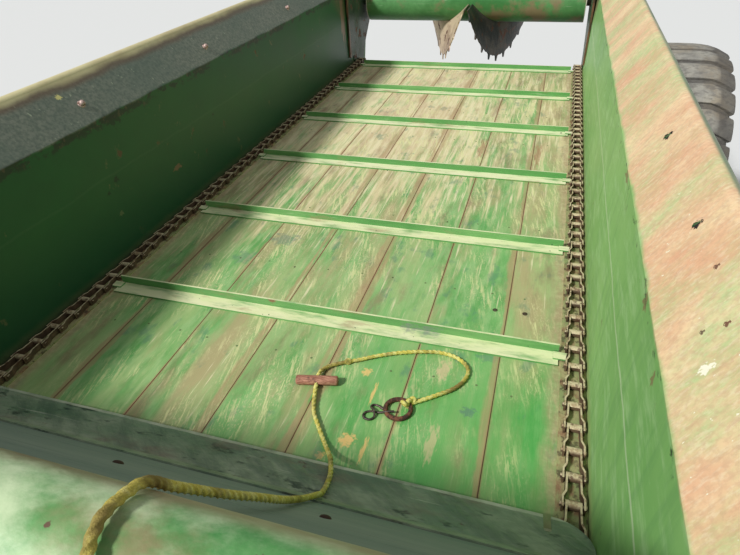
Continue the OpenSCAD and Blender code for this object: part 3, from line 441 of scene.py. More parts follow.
# Where loads have caught it near the front, bare wood shows orange, or the paint is bruised dark
fresh = times(ease(across, -0.05, 0.35), ease(along, -0.1, -0.5))
colour = cover(colour, (72, 164, 74), fresh, scaled(clusters, -0.3, 0.6))
bare_orange, bare_cream, bruise, reddened = (236, 196, 122), (212, 190, 146), (88, 118, 110), (164, 110, 84)
for place_x, place_y, half_x, half_y, tone, strength in (
    (0.206, -0.606, 0.020, 0.018, bare_orange, 0.9), (0.189, -0.413, 0.014, 0.013, bare_orange, 0.8),
    (0.222, -0.470, 0.005, 0.034, bare_orange, 0.8), (0.245, -0.620, 0.006, 0.034, bare_orange, 0.8),
    (0.166, -0.655, 0.012, 0.010, bare_orange, 0.8), (0.359, -0.363, 0.018, 0.034, bare_cream, 0.7),
    (0.372, -0.570, 0.014, 0.050, bare_cream, 0.6), (0.452, -0.295, 0.035, 0.018, bruise, 0.4),
    (0.431, -0.472, 0.020, 0.014, bruise, 0.6), (-0.241, 0.087, 0.060, 0.035, bruise, 0.45),
    (-0.319, -0.038, 0.045, 0.035, bruise, 0.35), (0.271, 0.936, 0.018, 0.100, reddened, 0.6),
    (0.497, 0.906, 0.016, 0.110, reddened, 0.6),
):
    there = mark(spot, (place_x, place_y, floor_top), (half_x, half_y, 0.1), 0.5)
    colour = cover(colour, tone, there, strength)
colour = cover(colour, (84, 128, 104), patches(grain_spot, 9, 0.16, 0.06, (2, 1, 1)), 0.5)
colour = cover(colour, (140, 108, 88), patches(grain_spot, 3.2, 0.2, 0.09, (3, 0.9, 1)), 0.6)
# Joints: a thin dark line, with a rubbed brown band beside it that comes and goes
right_of_joint = sums("SUBTRACT", share, sums("ROUND", share))
off_joint = sums("ABSOLUTE", right_of_joint)
shifted = sums("ABSOLUTE", sums("ADD", right_of_joint, scaled(luck, 0.12, -0.04)))
brown_w = scaled(patches(spot, 3.5, 0.4, 0.25, (3, 1, 1)), 0.14, 0.005)
streaky = patches(grain_spot, 4, 0.85, 0.15, (24, 1, 1))
brown = times(ease(shifted, brown_w, times(brown_w, 0.4)), streaky)
colour = cover(colour, (176, 148, 108), brown, 0.62)
reddish = times(ease(off_joint, 0.026, 0.008), patches(grain_spot, 3, 0.6, 0.2, (20, 1, 1)))
colour = cover(colour, (158, 110, 80), reddish, 0.7)
colour = cover(colour, (112, 78, 54), ease(off_joint, 0.009, 0.003), 0.8)
# The chains drag dirt along both edges, which rubs the paint to a pinkish brown
edge = sums("ADD", sums("ABSOLUTE", across), times(patches(spot, 6, 0.5, 0.3, (2, 1, 1)), 0.02))
rub = times(ease(edge, 0.584, 0.612), patches(spot, 16, 0.75, 0.3, (3, 1, 1)))
rub_colour = cover((170, 146, 112), (194, 176, 136), patches(spot, 70, 0.4, 0.15))
colour = cover(colour, rub_colour, rub, 0.85)
colour = cover(colour, (66, 66, 50), patches(grain_spot, 30, -0.2, 0.012, detail=2), 0.9)
fine_grain = patches(grain_spot, 3, 0.5, 0.2, (120, 1.5, 1), 4)
height = sums("SUBTRACT", times(fine_grain, 0.5), times(worn, 0.4))
join(shader, colour, scaled(worn, 0.25, 0.5), height, 0.0012, 0.4)
dress(floor_wood, "floor_boards")

# Nails that hold the boards: two heads in each board over each cross sill, most of them still
# under paint, and two bolts that have replaced lost ones.
nail_steel, shader, spot = new_material("nail_steel", 0.8, 0.4)
join(shader, cover((120, 140, 92), (84, 72, 52), patches(spot, 9, 0.3)))
first_sill_y = -0.747
sill_gap = 0.35
chain_edge = 0.585
shape = bmesh.new()
for sill in range(9):
    sill_y = first_sill_y + sill * sill_gap
    for k in range(board_count):
        for side in (-0.05, 0.05):
            x = -box_half + (k + 0.5) * board_w + side
            if abs(x) < chain_edge:
                jitter = random.Random(sill * 100 + k * 10 + (side > 0)).uniform(-0.012, 0.012)
                at = (x + jitter, sill_y + jitter, floor_top + 0.0003)
                rod(shape, 8, 0.003, 0.001, Matrix.Translation(at), 0.0026)
finish_piece("floor_nails", shape, nail_steel)
old_bolt, shader, spot = new_material("old_bolt", 0.8, 0.4)
join(shader, cover((84, 88, 60), (74, 56, 44), patches(spot, 9, 0.5)))


def dome(shape, place, radius, flat, around, up):
    """A round bolt head: a ball pressed flat along the Z of its place."""
    place = place @ Matrix.Diagonal((1, 1, flat, 1))
    bmesh.ops.create_uvsphere(shape, u_segments=around, v_segments=up, radius=radius, matrix=place)


def z_to(way):
    """A turn that brings Z round to a given way."""
    return Vector(way).to_track_quat("Z", "Y").to_matrix().to_4x4()


shape = bmesh.new()
for x, y in ((0.446, -0.117), (0.521, -0.115)):
    dome(shape, Matrix.Translation((x, y, floor_top)), 0.007, 0.25, 12, 6)
finish_piece("floor_bolts", shape, old_bolt)

# Old paint that other pieces share: it fades in large patches, is scratched one way, and rusts
# through in small ones
paint_inputs = {
    "Paint": (0.1, 0.3, 0.1, 1), "Faded": (0.3, 0.5, 0.3, 1), "Rust": (0.2, 0.1, 0.05, 1),
    "Vector": (0, 0, 0), "Stretch": (1, 1, 1), "Scale": 3.0, "Fade": 0.4, "Rusted": 0.1,
    "Scratched": 0.1, "Dust": 0.2,
}
paint_outputs = {"Color": "Color", "Roughness": "Float", "Height": "Float"}
old_paint, given, put = new_group("Old paint", paint_inputs, paint_outputs)
base, faded, rusty, spot, stretch, scale, fade, rusted, scratched, dust = (given[k] for k in paint_inputs)
fades = patches(spot, scale, fade, 0.12, stretch)
colour = cover(base, faded, fades)
grime = patches(spot, times(scale, 14.0), 0.5, 0.2, stretch)
colour = cover(colour, cover(base, (0.02, 0.02, 0.015, 1), 0.35), grime, 0.3)
scratches = patches(spot, 3.0, scratched, 0.02, (2.0, 26.0, 60.0), 3)
colour = cover(colour, cover(faded, (0.75, 0.75, 0.6, 1), 0.45), scratches, 0.6)
chip_scale = times(scale, 5.0)
edge_of_rust = patches(spot, chip_scale, sums("ADD", rusted, 0.05), 0.03)
rust = patches(spot, chip_scale, rusted, 0.02)
colour = cover(colour, cover(rusty, faded, 0.4), edge_of_rust, 0.6)
colour = cover(colour, rusty, rust)
faces_up = ease(face_way(spot)[2], 0.5, 0.95)
dusty = times(times(faces_up, dust), scaled(grime, 0.5, 0.5))
lead(put, {"Color": cover(colour, (176, 164, 132), dusty)})
lead(put, {"Roughness": scaled(rust, 0.35, scaled(fades, 0.15, 0.42))})
lead(put, {"Height": sums("SUBTRACT", times(grime, 0.15), edge_of_rust)})


def painted(spot, tones, scale, fade, rusted, scratched, dust=0.0, stretch=(1, 1, 1)):
    """The old paint's colour, roughness and height, from its paint, faded and rust tones."""
    values = [paint(*levels) for levels in tones] + [spot, stretch, scale, fade, rusted, scratched, dust]
    made = wire("Group", dict(zip(paint_inputs, values)), node_tree=old_paint)
    return [made.outputs[name] for name in paint_outputs]


# Chain strips: flat steel under the top run of each chain and an angle under the return run,
# screwed down. The chain keeps the top bright brown, and dirt cakes along it.
steel_guides, shader, spot = new_material("steel_guides", 0.65, 0.3)
rubbed = patches(spot, 14, 0.5, 0.12, (3, 0.8, 1))
colour = cover((180, 174, 122), (152, 166, 108), rubbed)
colour = cover(colour, (156, 114, 86), patches(spot, 22, 0.34, 0.08, (2, 1, 1)), 0.8)
colour = cover(colour, (70, 58, 42), patches(spot, 44, 0.3), 0.7)
join(shader, colour, height=patches(spot, 120, 0.5, 0.2), depth=0.001)
dress(steel_guides, "chain_guides")

# Sides: one pressed steel sheet each, slightly creased along its middle, bent out into a flare
# that ends on a rolled rim. Loads have polished the right flare to pink primer, as they slide
# over it, and the left one is painted grey, as its faded paint looks in shade.
bend_x, bend_z = 0.6785, 1.103
crease_at = 0.947
flare_way = Vector((0.645, 0, 0.764))
side_steel, shader, spot = new_material("side_steel", 0.5)
place = axes(spot)
normal = face_way(spot)
right = ease(place[0], -0.05, 0.05)
outward = times(normal[0], sums("SIGN", place[0]))
inside = ease(outward, 0.1, -0.1)
wavy = scaled(patches(spot, 6, 0.5, 0.3), 0.010, place[2])
out_x = sums("ABSOLUTE", place[0])
below_bend = -bend_x * flare_way.x - bend_z * flare_way.z
up_flare = scaled(out_x, flare_way.x, scaled(place[2], flare_way.z, below_bend))
flare = sums("MAXIMUM", inside, ease(up_flare, 0.126, 0.13))
flare = times(flare, ease(wavy, bend_z + 0.001, bend_z + 0.010))
# The walls are glossy green; inside, the left one is painted dark as in shade, the right one pale with
# streaks scoured by loads
right_inside = times(right, inside)
wall, rough, dents = painted(
    spot, ((12, 80, 38), (28, 104, 46), (104, 76, 54)), 2.0, scaled(right_inside, 0.5, 0.22), 0.0,
    scaled(right_inside, 0.2, -0.25), stretch=(1, 0.4, 0.5),
)
pale = cover((134, 188, 104), (158, 204, 122), patches(spot, 3.0, 0.5, 0.2, (1, 0.5, 0.8)))
wall = cover(wall, pale, right_inside, 0.85)
dark = patches(spot, 2.2, 0.4, 0.25, (1, 0.5, 0.8))
wall = cover(wall, (66, 118, 60), dark, scaled(right_inside, 0.05, 0.2))
# Painted shade: except inside the right wall, the green darkens to teal towards the foot
wall = cover(wall, (18, 72, 48), ease(wavy, 0.95, 0.74), scaled(right_inside, -0.6, 0.6))
streaks = patches(spot, 20, 0.3, 0.12, (1, 0.5, 2.4), 4)
wall = cover(wall, (180, 212, 156), streaks, times(right_inside, 0.45))
wall = cover(wall, (90, 142, 84), patches(spot, 5, 0.35, 0.1, (1, 9, 1.2)), times(right_inside, 0.3))
# A painted highlight along the crease, strongest on the right wall
line = sums("ABSOLUTE", sums("SUBTRACT", wavy, crease_at + 0.006))
line = times(ease(line, 0.005, 0.001), times(inside, scaled(right, 0.65, 0.02)))
wall = cover(wall, (196, 212, 172), line)
wall = cover(wall, (112, 104, 70), patches(spot, 13, -0.02, 0.03, (1, 1.3, 1), 4), times(inside, 0.7))
foot = times(inside, ease(wavy, 0.735, 0.70))
wall = cover(wall, cover((104, 104, 74), (176, 190, 116), right), foot, 0.6)
rust_mark, dark_mark, scuff, end_mark = (132, 96, 72), (14, 34, 20), (104, 112, 76), (150, 112, 92)
for place_x, place_y, place_z, half_y, half_z, tone in (
    (0.67, -0.555, 1.088, 0.016, 0.014, rust_mark), (0.67, -0.136, 1.092, 0.030, 0.010, rust_mark),
    (0.67, -0.700, 1.075, 0.008, 0.012, rust_mark), (-0.67, -0.076, 0.929, 0.012, 0.010, dark_mark),
    (-0.67, -0.120, 0.905, 0.008, 0.006, dark_mark), (-0.67, 0.206, 0.842, 0.026, 0.010, rust_mark),
    (-0.67, -0.100, 0.830, 0.010, 0.008, scuff), (-0.67, 1.948, 0.960, 0.030, 0.140, end_mark),
    (-0.67, 0.480, 0.930, 0.008, 0.005, dark_mark), (-0.67, -0.005, 1.085, 0.030, 0.022, dark_mark),
):
    there = mark(spot, (place_x, place_y, place_z), (0.1, half_y, half_z))
    wall = cover(wall, tone, there, 0.75)

# Rust flakes in a band under the bend, thickest on the left, and runs down from it here and there
near_bend = ease(sums("ABSOLUTE", sums("SUBTRACT", place[2], bend_z - 0.008)), 0.036, 0.004)
flaked = scaled(right, -0.42, times(near_bend, 0.62))
here = patches(spot, 7, 0.6, 0.2)
peel = patches(spot, 40, times(flaked, scaled(here, 0.8, 0.35)), 0.05, (1, 0.7, 1.2), 4)
peel = times(peel, times(inside, near_bend))
wall = cover(wall, cover((30, 40, 30), (80, 64, 50), patches(spot, 60, 0.3)), peel, 0.9)
blisters = patches(spot, 9, 0.1, 0.05, (1, 1, 0.7))
blisters = times(blisters, ease(place[2], bend_z - 0.05, bend_z - 0.02))
wall = cover(wall, cover((52, 44, 34), (110, 78, 60), patches(spot, 50, 0.5)), blisters, inside)
end_rust = patches(spot, 7, 0.6, 0.1, (1, 2, 1))
end_rust = times(end_rust, ease(sums("ADD", place[1], place[2]), 2.86, 3.02))
wall = cover(wall, (112, 80, 58), times(end_rust, inside), 0.8)
# The right flare: primer and tan, with thin green left between fine scratches that run up it
slanted = wire("Mapping", {"Vector": spot, "Rotation": (0, 0, math.radians(-32))}).outputs[0]
pink = cover((230, 184, 144), (242, 216, 168), patches(slanted, 4.2, 0.5, 0.15, (1, 1.8, 1)))
pink = cover(pink, (220, 158, 122), patches(slanted, 5, 0.36, 0.16, (1, 2.2, 1)), 0.75)
green_left = patches(slanted, 4.6, 0.44, 0.14, (1, 2.0, 1))
green_fine = patches(slanted, 12, 0.5, 0.16, (4, 9, 4), 4)
pink = cover(pink, (168, 204, 136), times(green_left, scaled(green_fine, 0.45, 0.5)), 0.9)
pale = patches(slanted, 12, 0.34, 0.08, (5, 14, 5), 4)
pink = cover(pink, (242, 228, 192), pale, 0.34)
rubbed = patches(slanted, 10, 0.26, 0.1, (3, 12, 3))
pink = cover(pink, (192, 144, 114), rubbed, 0.32)
pink = cover(pink, (196, 158, 126), patches(spot, 130, 0.42, 0.12, detail=4), 0.35)
near_front = ease(place[1], 0.3, -0.5)
chips = patches(slanted, 60, scaled(near_front, 0.06, -0.16), 0.014, (1.4, 1.8, 1.4), 2)
pink = cover(pink, (242, 236, 206), chips)
# The two near-black marks are painted shade inside holes in the flare; the others are rust and a pale spot
for at, size, tone in (
    ((0.7374, -0.4594, 1.1727), (0.008, 0.009, 0.009), (30, 24, 18)),
    ((0.7374, -0.107, 1.1727), (0.009, 0.012, 0.010), (30, 24, 18)),
    ((0.7414, -0.578, 1.1775), (0.004, 0.005, 0.005), (120, 84, 62)),
    ((0.7354, -0.689, 1.1704), (0.004, 0.005, 0.005), (120, 84, 62)),
    ((0.7165, -0.683, 1.148), (0.003, 0.004, 0.004), (112, 96, 72)),
    ((0.7128, -0.742, 1.1436), (0.010, 0.008, 0.010), (244, 240, 214)),
):
    pink = cover(pink, tone, mark(spot, at, size, 0.3))
# The left flare: painted grey as in shade, finely mottled, tan along the rim from wear and painted sunlight
# on the roll
grey = cover((104, 114, 100), (138, 142, 126), patches(spot, 110, 0.5, 0.16, detail=3))
grey = cover(grey, (92, 112, 98), patches(spot, 4, 0.4, 0.15, (1, 0.6, 1)), 0.5)
grey = cover(grey, (178, 186, 160), patches(spot, 50, -0.02, 0.015, (1, 2, 1), 2), 0.8)
rim_tan = cover((190, 176, 130), (220, 210, 160), patches(spot, 8, 0.5, 0.15, (1, 0.5, 1)))
tan_at = scaled(patches(spot, 5, 0.5, 0.25, (1, 0.5, 1)), 0.018, up_flare)
grey = cover(grey, (118, 92, 70), ease(tan_at, 0.108, 0.128), 0.7)
grey = cover(grey, rim_tan, ease(tan_at, 0.126, 0.146))
grey = cover(grey, (226, 216, 140), mark(spot, (-0.7397, -0.106, 1.1755), (0.008, 0.010, 0.008), 0.3))
rim_green = cover((110, 136, 104), (160, 164, 130), patches(spot, 12, 0.4, 0.12, (1, 0.5, 1)))
pink = cover(pink, rim_green, ease(out_x, 0.781, 0.789), 0.9)
top_colour = cover(grey, pink, right)
colour = cover(wall, top_colour, flare)
join(shader, colour, rough, dents, 0.0012, 0.4)
dress(side_steel, "side_left", "side_right")

# Flare bolts: old carriage bolts left in the flare where boards were once fixed to make it
# higher. On the right they are gone.
bolt_steel, shader, spot = new_material("bolt_steel", 0.6, 0.5)
join(shader, cover((206, 180, 170), (132, 98, 84), patches(spot, 160, 0.4)))
shape = bmesh.new()
for x, y, z in ((-0.7138, -0.065, 1.1448), (-0.7113, 0.580, 1.1418), (-0.7113, 1.314, 1.1418)):
    place = Matrix.Translation((x, y, z)) @ z_to((flare_way.z, 0, flare_way.x))
    for radius, up, flat in ((0.011, 0.000, 0.3), (0.0085, 0.006, 0.9)):
        dome(shape, place @ Matrix.Translation((0, 0, up)), radius, flat, 14, 8)
finish_piece("flare_bolts", shape, bolt_steel)

# Rear plates: cut from thick plate and welded to the sides. They carry the beater, and their
# paint is nearly black with grease and load, with a rusty strip over the side's end.
rear_steel, shader, spot = new_material("rear_steel", 0.6)
colour, rough, dents = painted(spot, ((32, 56, 34), (52, 82, 48), (104, 70, 50)), 4.0, 0.4, 0.2, 0.1, 0.3)
place = axes(spot)
strip = times(ease(place[1], 2.035, 2.025), ease(place[1], 1.9, 1.91))
rusty = cover((124, 86, 62), (70, 56, 40), patches(spot, 12, 0.4, stretch=(1, 2, 0.5)))
colour = cover(colour, rusty, strip, 0.85)
join(shader, colour, rough, dents)
dress(rear_steel, "rear_plate_left", "rear_plate_right")

# Frame: pressed stakes, rolled channel sills and cross sills, and the axle and its saddles, all
# welded and painted green, dusty on top and dirty below.
frame_green, shader, spot = new_material("frame_green", 0.5)
colour, rough, dents = painted(
    spot, ((46, 100, 48), (92, 132, 78), (112, 76, 54)), 3.0, 0.35, 0.09, 0.08, 0.45, stretch=(1, 0.6, 1)
)
low = ease(axes(spot)[2], 0.62, 0.35)
mud = times(low, patches(spot, 8, 0.55, 0.12))
join(shader, cover(colour, (120, 106, 84), mud, 0.6), rough, dents)
dress(
    frame_green, "stakes_left", "stakes_right", "sill_left", "sill_right", "cross_sills", "front_frame",
    "axle", "axle_saddles", "tongue_left", "tongue_right", "tongue_cross", "hitch_clevis", "jack_bracket",
    "driveline_hanger", "chain_guard",
)

# Front boards: three planks across the box, bolted to the uprights behind them. The faded paint
# is painted in the grey green it shows in shade, with the grain showing.
front_wood, shader, spot = new_material("front_wood", 0.75)
grain = patches(spot, 6, 0.5, 0.2, (0.5, 14, 14), 4)
colour = cover((118, 134, 122), (138, 148, 134), patches(spot, 3, 0.5, 0.2, (0.5, 3, 3)))
colour = cover(colour, (104, 124, 112), grain, 0.3)
cracks = patches(spot, 5, 0.02, 0.03, (0.4, 26, 26), 3)
colour = cover(colour, (88, 98, 84), cracks, 0.5)
join(shader, colour, height=scaled(grain, 0.4, cracks), depth=-0.0008, strength=0.4)
dress(front_wood, "front_boards")

# Carriage bolts of the front boards: domed heads, rusty, drawn into the wood.
slope = math.radians(55.4)
foot_y, foot_z = -0.794, 0.770
shape = bmesh.new()
for x in (-0.308, 0, 0.308):
    for up in (0.236, 0.46):
        at = (x, foot_y - up * math.cos(slope), foot_z + up * math.sin(slope))
        dome(shape, Matrix.Translation(at) @ z_to((0, math.sin(slope), math.cos(slope))), 0.008, 0.5, 16, 8)
finish_piece("board_bolts", shape, old_bolt)

# Flap: a strip of sheet steel nailed to the lowest board. It hangs just over the passing slats,
# and loads have beaten its edge wavy. Its dents carry painted shade, and its edge a painted highlight.
flap_steel, shader, spot = new_material("flap_steel", 0.45)
colour, rough, dents = painted(
    spot, ((112, 138, 108), (158, 168, 142), (104, 84, 70)), 4.0, 0.5, 0.03, 0.05, stretch=(1, 2, 2)
)
leaning = wire("Mapping", {"Vector": spot, "Rotation": (0, 0, math.radians(38))}).outputs[0]
# The ripples are dents; their dark colour is painted shade
ripples = patches(leaning, 5, 0.42, 0.14, (1.4, 5, 1))
colour = cover(colour, (70, 94, 76), ripples, 0.6)
colour = cover(colour, (36, 58, 44), patches(spot, 14, 0.2, 0.05, (1, 2, 2), 4), 0.85)
colour = cover(colour, (124, 104, 92), patches(spot, 6, 0.2, 0.1, (1, 2, 2)), 0.6)
# A painted highlight along the wavy free edge
edge_at = scaled(patches(spot, 16, 0.5, 0.3, (1, 0, 0)), 0.004, axes(spot)[1])
edge_highlight = times(ease(edge_at, -0.7005, -0.6975), patches(spot, 7, 0.6, 0.2, (1, 0, 0)))
join(shader, cover(colour, (206, 210, 184), edge_highlight, 0.85), rough, sums("ADD", ripples, dents), 0.004, 0.5)
dress(flap_steel, "front_flap")

# Front rail: a length of large pipe welded across the front, bright green, with pink primer and
# tan showing where it has been leant on.
rail_green, shader, spot = new_material("rail_green", 0.35)
colour, rough, dents = painted(spot, ((70, 144, 70), (128, 182, 112), (172, 122, 100)), 6.0, 0.5, -0.2, 0.0)
colour = cover(colour, (168, 128, 104), patches(spot, 9, 0.14, 0.12, (0.7, 1, 1)), 0.75)
# Pale patches: worn paint, and partly a painted highlight along the lit top of the pipe
pale = patches(spot, 12, 0.42, 0.14, (0.7, 1, 1))
colour = cover(colour, (222, 236, 192), pale, 0.78)
behind = ease(axes(spot)[1], -1.108, -1.088)
colour = cover(colour, (166, 140, 112), behind, scaled(pale, -0.4, 0.85))
pits = patches(spot, 46, 0.0, 0.02, detail=3)
join(shader, cover(colour, (104, 78, 58), pits), rough, dents)
dress(rail_green, "front_rail")

# Apron chains: steel pintle chain, one on each side. Each link is a strip bent into a long U round
# a barrel, open and wider at its front, where a riveted pin holds the barrel of the link before.
link_pitch = 0.05875
run_links = 53
chain_top = floor_top + 0.012
shaft_low = chain_top - link_pitch
slat_y = -0.265
drive_y = slat_y + 41.5 * link_pitch
idler_y = drive_y - run_links * link_pitch
chain_x = box_half - 0.027
both_sides = (("left", -1), ("right", 1))


def link_place(s):
    """Where link s of the loop lies: X across, Y along its travel, Z out of the loop."""
    reach = link_pitch * math.cos(math.radians(30))
    if s < run_links:
        turn, y, z = 0, idler_y + (s + 0.5) * link_pitch, chain_top
    elif s < run_links + 3:
        turn = math.radians(30 + 60 * (s - run_links))
        y, z = drive_y + reach * math.sin(turn), shaft_low + reach * math.cos(turn)
    elif s < 2 * run_links + 3:
        turn, y, z = math.pi, drive_y - (s - run_links - 2.5) * link_pitch, shaft_low - link_pitch
    else:
        turn = math.radians(210 + 60 * (s - 2 * run_links - 3))
        y, z = idler_y + reach * math.sin(turn), shaft_low + reach * math.cos(turn)
    return Matrix.Translation((0, y, z)) @ Matrix.Rotation(-turn, 4, "X")


chain_steel, shader, spot = new_material("chain_steel", 0.55, 0.25)
colour = cover((88, 70, 54), (116, 94, 72), patches(spot, 40, 0.5, 0.1))
# Faces that point up are painted pale: painted sunlight on the links' tops
faces_up = ease(face_way(spot)[2], 0.35, 0.85)
sunlit_tops = cover((214, 198, 160), (176, 150, 116), patches(spot, 70, 0.4, 0.08))
colour = cover(colour, sunlit_tops, faces_up)
colour = cover(colour, (92, 62, 46), patches(spot, 60, 0.25, 0.05), 0.8)
join(shader, colour, height=patches(spot, 250, 0.5, 0.2), depth=0.0006)

strip_thick = 0.0035
strip_high = 0.017
bar_path = [(0.0205, -0.0390), (0.0205, -0.0170), (0.0150, -0.0060), (0.0140, 0.0250)]
link = bmesh.new()
for side in (-1, 1):
    low_line = [link.verts.new((side * x, y, -strip_high / 2)) for x, y in bar_path]
    low_edges = [link.edges.new(pair) for pair in zip(low_line, low_line[1:])]
    walls = bmesh.ops.extrude_edge_only(link, edges=low_edges)["geom"]
    tops = [g for g in walls if isinstance(g, bmesh.types.BMVert)]
    bmesh.ops.translate(link, vec=(0, 0, strip_high), verts=tops)
bmesh.ops.recalc_face_normals(link, faces=link.faces)
bmesh.ops.solidify(link, geom=link.faces[:], thickness=strip_thick)
for sides, radius, length, y in ((12, 0.0088, 0.0285, 0.0294), (8, 0.0045, 0.0470, -0.0294)):
    rod(link, sides, radius, length, Matrix.Translation((0, y, 0)) @ z_to_x)
one_link = as_mesh("one_link", link)
for name, side in both_sides:
    shape = bmesh.new()
    for s in range(2 * run_links + 6):
        before = len(shape.verts)
        shape.from_mesh(one_link)
        shape.verts.ensure_lookup_table()
        place = Matrix.Translation((side * chain_x, 0, 0)) @ link_place(s)
        bmesh.ops.transform(shape, matrix=place, verts=shape.verts[before:])
    piece = finish_piece("chain_" + name, shape, chain_steel, smooth=30)
    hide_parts("apron_chain_" + name)
bpy.data.meshes.remove(one_link)

# Slats: steel angles across the floor every eighth link, a tab at each end riveted to the chain.
# The load keeps the flat flange polished to cream, and the upright leg stays green.
slat_green, shader, spot = new_material("slat_green", 0.5)
colour, rough, dents = painted(
    spot, ((92, 156, 84), (126, 178, 108), (140, 112, 80)), 3.0, 0.4, -0.02, 0.05, stretch=(0.5, 4, 4)
)
normal_up = face_way(spot)[2]
polished = times(ease(normal_up, 0.5, 0.9), patches(spot, 9, 0.84, 0.2, (1.2, 5, 1), 4))
along = axes(spot)[1]
paler = times(patches(spot, 14, 0.5, 0.2, (1, 3, 1), 4), 0.5)
cream = cover((230, 232, 178), (246, 238, 200), scaled(ease(along, -0.1, 0.8), 0.5, paler))
colour = cover(colour, cream, polished, 0.92)
colour = cover(colour, (164, 126, 98), patches(spot, 7, 0.16, 0.08, (1, 3, 3)), 0.5)
for at, size in (((0.300, -0.235, 0.69), (0.050, 0.03, 0.02)), ((0.250, -0.235, 0.69), (0.030, 0.03, 0.02))):
    colour = cover(colour, (136, 136, 134), mark(spot, at, size, 0.7), 0.6)
colour = cover(colour, (60, 84, 60), patches(spot, 70, -0.10, 0.015, detail=2))
join(shader, colour, rough, dents, 0.001)
dress(slat_green, "apron_slats")

# Shafts of the apron and of the drive: bright bar once, now rusty and oily, each with six-tooth
# sprockets that turn the chain by one link in each sixth of a turn.
bare_steel, shader, spot = new_material("bare_steel", 0.45, 0.7)
colour = cover((132, 124, 114), (96, 70, 54), patches(spot, 12, 0.45, 0.1))
colour = cover(colour, (60, 50, 44), patches(spot, 50, 0.35))
join(shader, colour, scaled(patches(spot, 20, 0.5, 0.2), 0.25, 0.4))
dress(
    bare_steel, "apron_drive_shaft", "apron_idler_shaft", "line_shaft", "beater_shaft", "jack_leg",
    "jack_crank", "rope_eye",
)

# Gearboxes and bearings: rough cast iron under green paint, black with oil and dust round the
# seals. Their covers and flanges are held by hexagon bolts.
gear_green, shader, spot = new_material("gear_green", 0.55)
colour = painted(spot, ((40, 84, 44), (74, 104, 62), (96, 66, 48)), 8.0, 0.4, 0.08, 0.05, 0.5)[0]
oily = patches(spot, 9, 0.38, 0.1, (1, 1, 0.5))
cast = patches(spot, 220, 0.5, 0.25)
join(shader, cover(colour, (38, 34, 28), oily, 0.7), scaled(oily, -0.25, 0.6), cast, 0.001)
dress(gear_green, "shaft_bearings", "apron_gearbox", "bevel_gearbox", "line_bearings")


def hex_bolt(shape, at, out, size=0.014, tall=0.008):
    """A hexagon head on a washer."""
    turn = Matrix.Translation(at) @ z_to(out)
    for sides, radius, low, high in ((16, size * 0.85, 0, 0.002), (6, size * 0.6, 0.002, 0.002 + tall)):
        rod(shape, sides, radius, high - low, turn @ Matrix.Translation((0, 0, (low + high) / 2)))


beater_y, beater_z = 2.411, 0.993
line_shaft_z = 0.575
gearbox_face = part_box("apron_gearbox")[0][0]
shape = bmesh.new()
for side in (-1, 1):
    for x, y, z, radius, first, size in (
        (0.687, idler_y, shaft_low, 0.034, 45, 0.010), (0.687, drive_y, shaft_low, 0.034, 45, 0.010),
        (0.6777, beater_y, beater_z, 0.037, 0, 0.009),
    ):
        for a in range(first, 360, 90):
            a = math.radians(a)
            at = (side * x, y + radius * math.cos(a), z + radius * math.sin(a))
            hex_bolt(shape, at, (side, 0, 0), size, 0.005)
for y, z in (
    (drive_y - 0.058, -0.034), (drive_y - 0.058, 0.014), (drive_y + 0.058, -0.034), (drive_y + 0.058, 0.014),
    (2.296, -0.032), (2.296, 0.032), (2.366, -0.032), (2.366, 0.032),
):
    hex_bolt(shape, (gearbox_face, y, line_shaft_z + z), (-1, 0, 0))
finish_piece("housing_bolts", shape, bare_steel, smooth=25)

# Driveline: a telescoping shaft in a dusty black plastic guard, with a universal joint at each
# end. It is laid on its hanger while no tractor is hitched.
drive_black, shader, spot = new_material("drive_black", 0.6)
colour = cover((40, 40, 40), (74, 70, 62), patches(spot, 6, 0.45, 0.15))
colour = cover(colour, (120, 108, 88), patches(spot, 40, 0.3), 0.6)
join(shader, colour, height=patches(spot, 90, 0.5, 0.2), depth=0.0008)
dress(drive_black, "driveline")

# Beater: a large tube on a shaft across the rear, with two flights of opposite hand that meet at
# the middle. Welded teeth along the flights tear the load apart and throw it out.
beater_green, shader, spot = new_material("beater_green", 0.5)
colour, rough, dents = painted(spot, ((58, 122, 60), (92, 150, 88), (132, 92, 72)), 3.2, 0.4, -0.1, 0.0)
around = axes(spot)
blotched = patches(spot, 9, scaled(ease(around[0], -0.1, 0.3), 0.2, 0.2), 0.09)
colour = cover(colour, (146, 112, 90), blotched, 0.75)
# Paler along the top of the tube
pale_top = times(ease(around[2], 1.05, 1.08), patches(spot, 6, 0.8, 0.12, (2, 1, 1)))
colour = cover(colour, (214, 204, 172), pale_top, 0.75)
ends = ease(sums("ABSOLUTE", around[0]), 0.634, 0.638)
join(shader, cover(colour, (206, 200, 180), ends), rough, dents)
dress(beater_green, "beater_tube")
flight_steel, shader, spot = new_material("flight_steel", 0.5, 0.4)
side = axes(spot)[0]
# Painted light and shade on one steel: the left flight is painted sunlit tan, the right one shaded dark grey
dark = cover((56, 58, 56), (92, 84, 74), patches(spot, 9, 0.4, 0.1))
sunlit_tan = cover((216, 194, 162), (168, 142, 118), patches(spot, 7, 0.45, 0.1))
colour = cover(dark, sunlit_tan, ease(side, 0.0, -0.02))
colour = cover(colour, (100, 62, 44), patches(spot, 24, 0.22))
join(shader, colour, height=patches(spot, 120, 0.5, 0.2), depth=0.0008)
dress(flight_steel, "beater_flights")

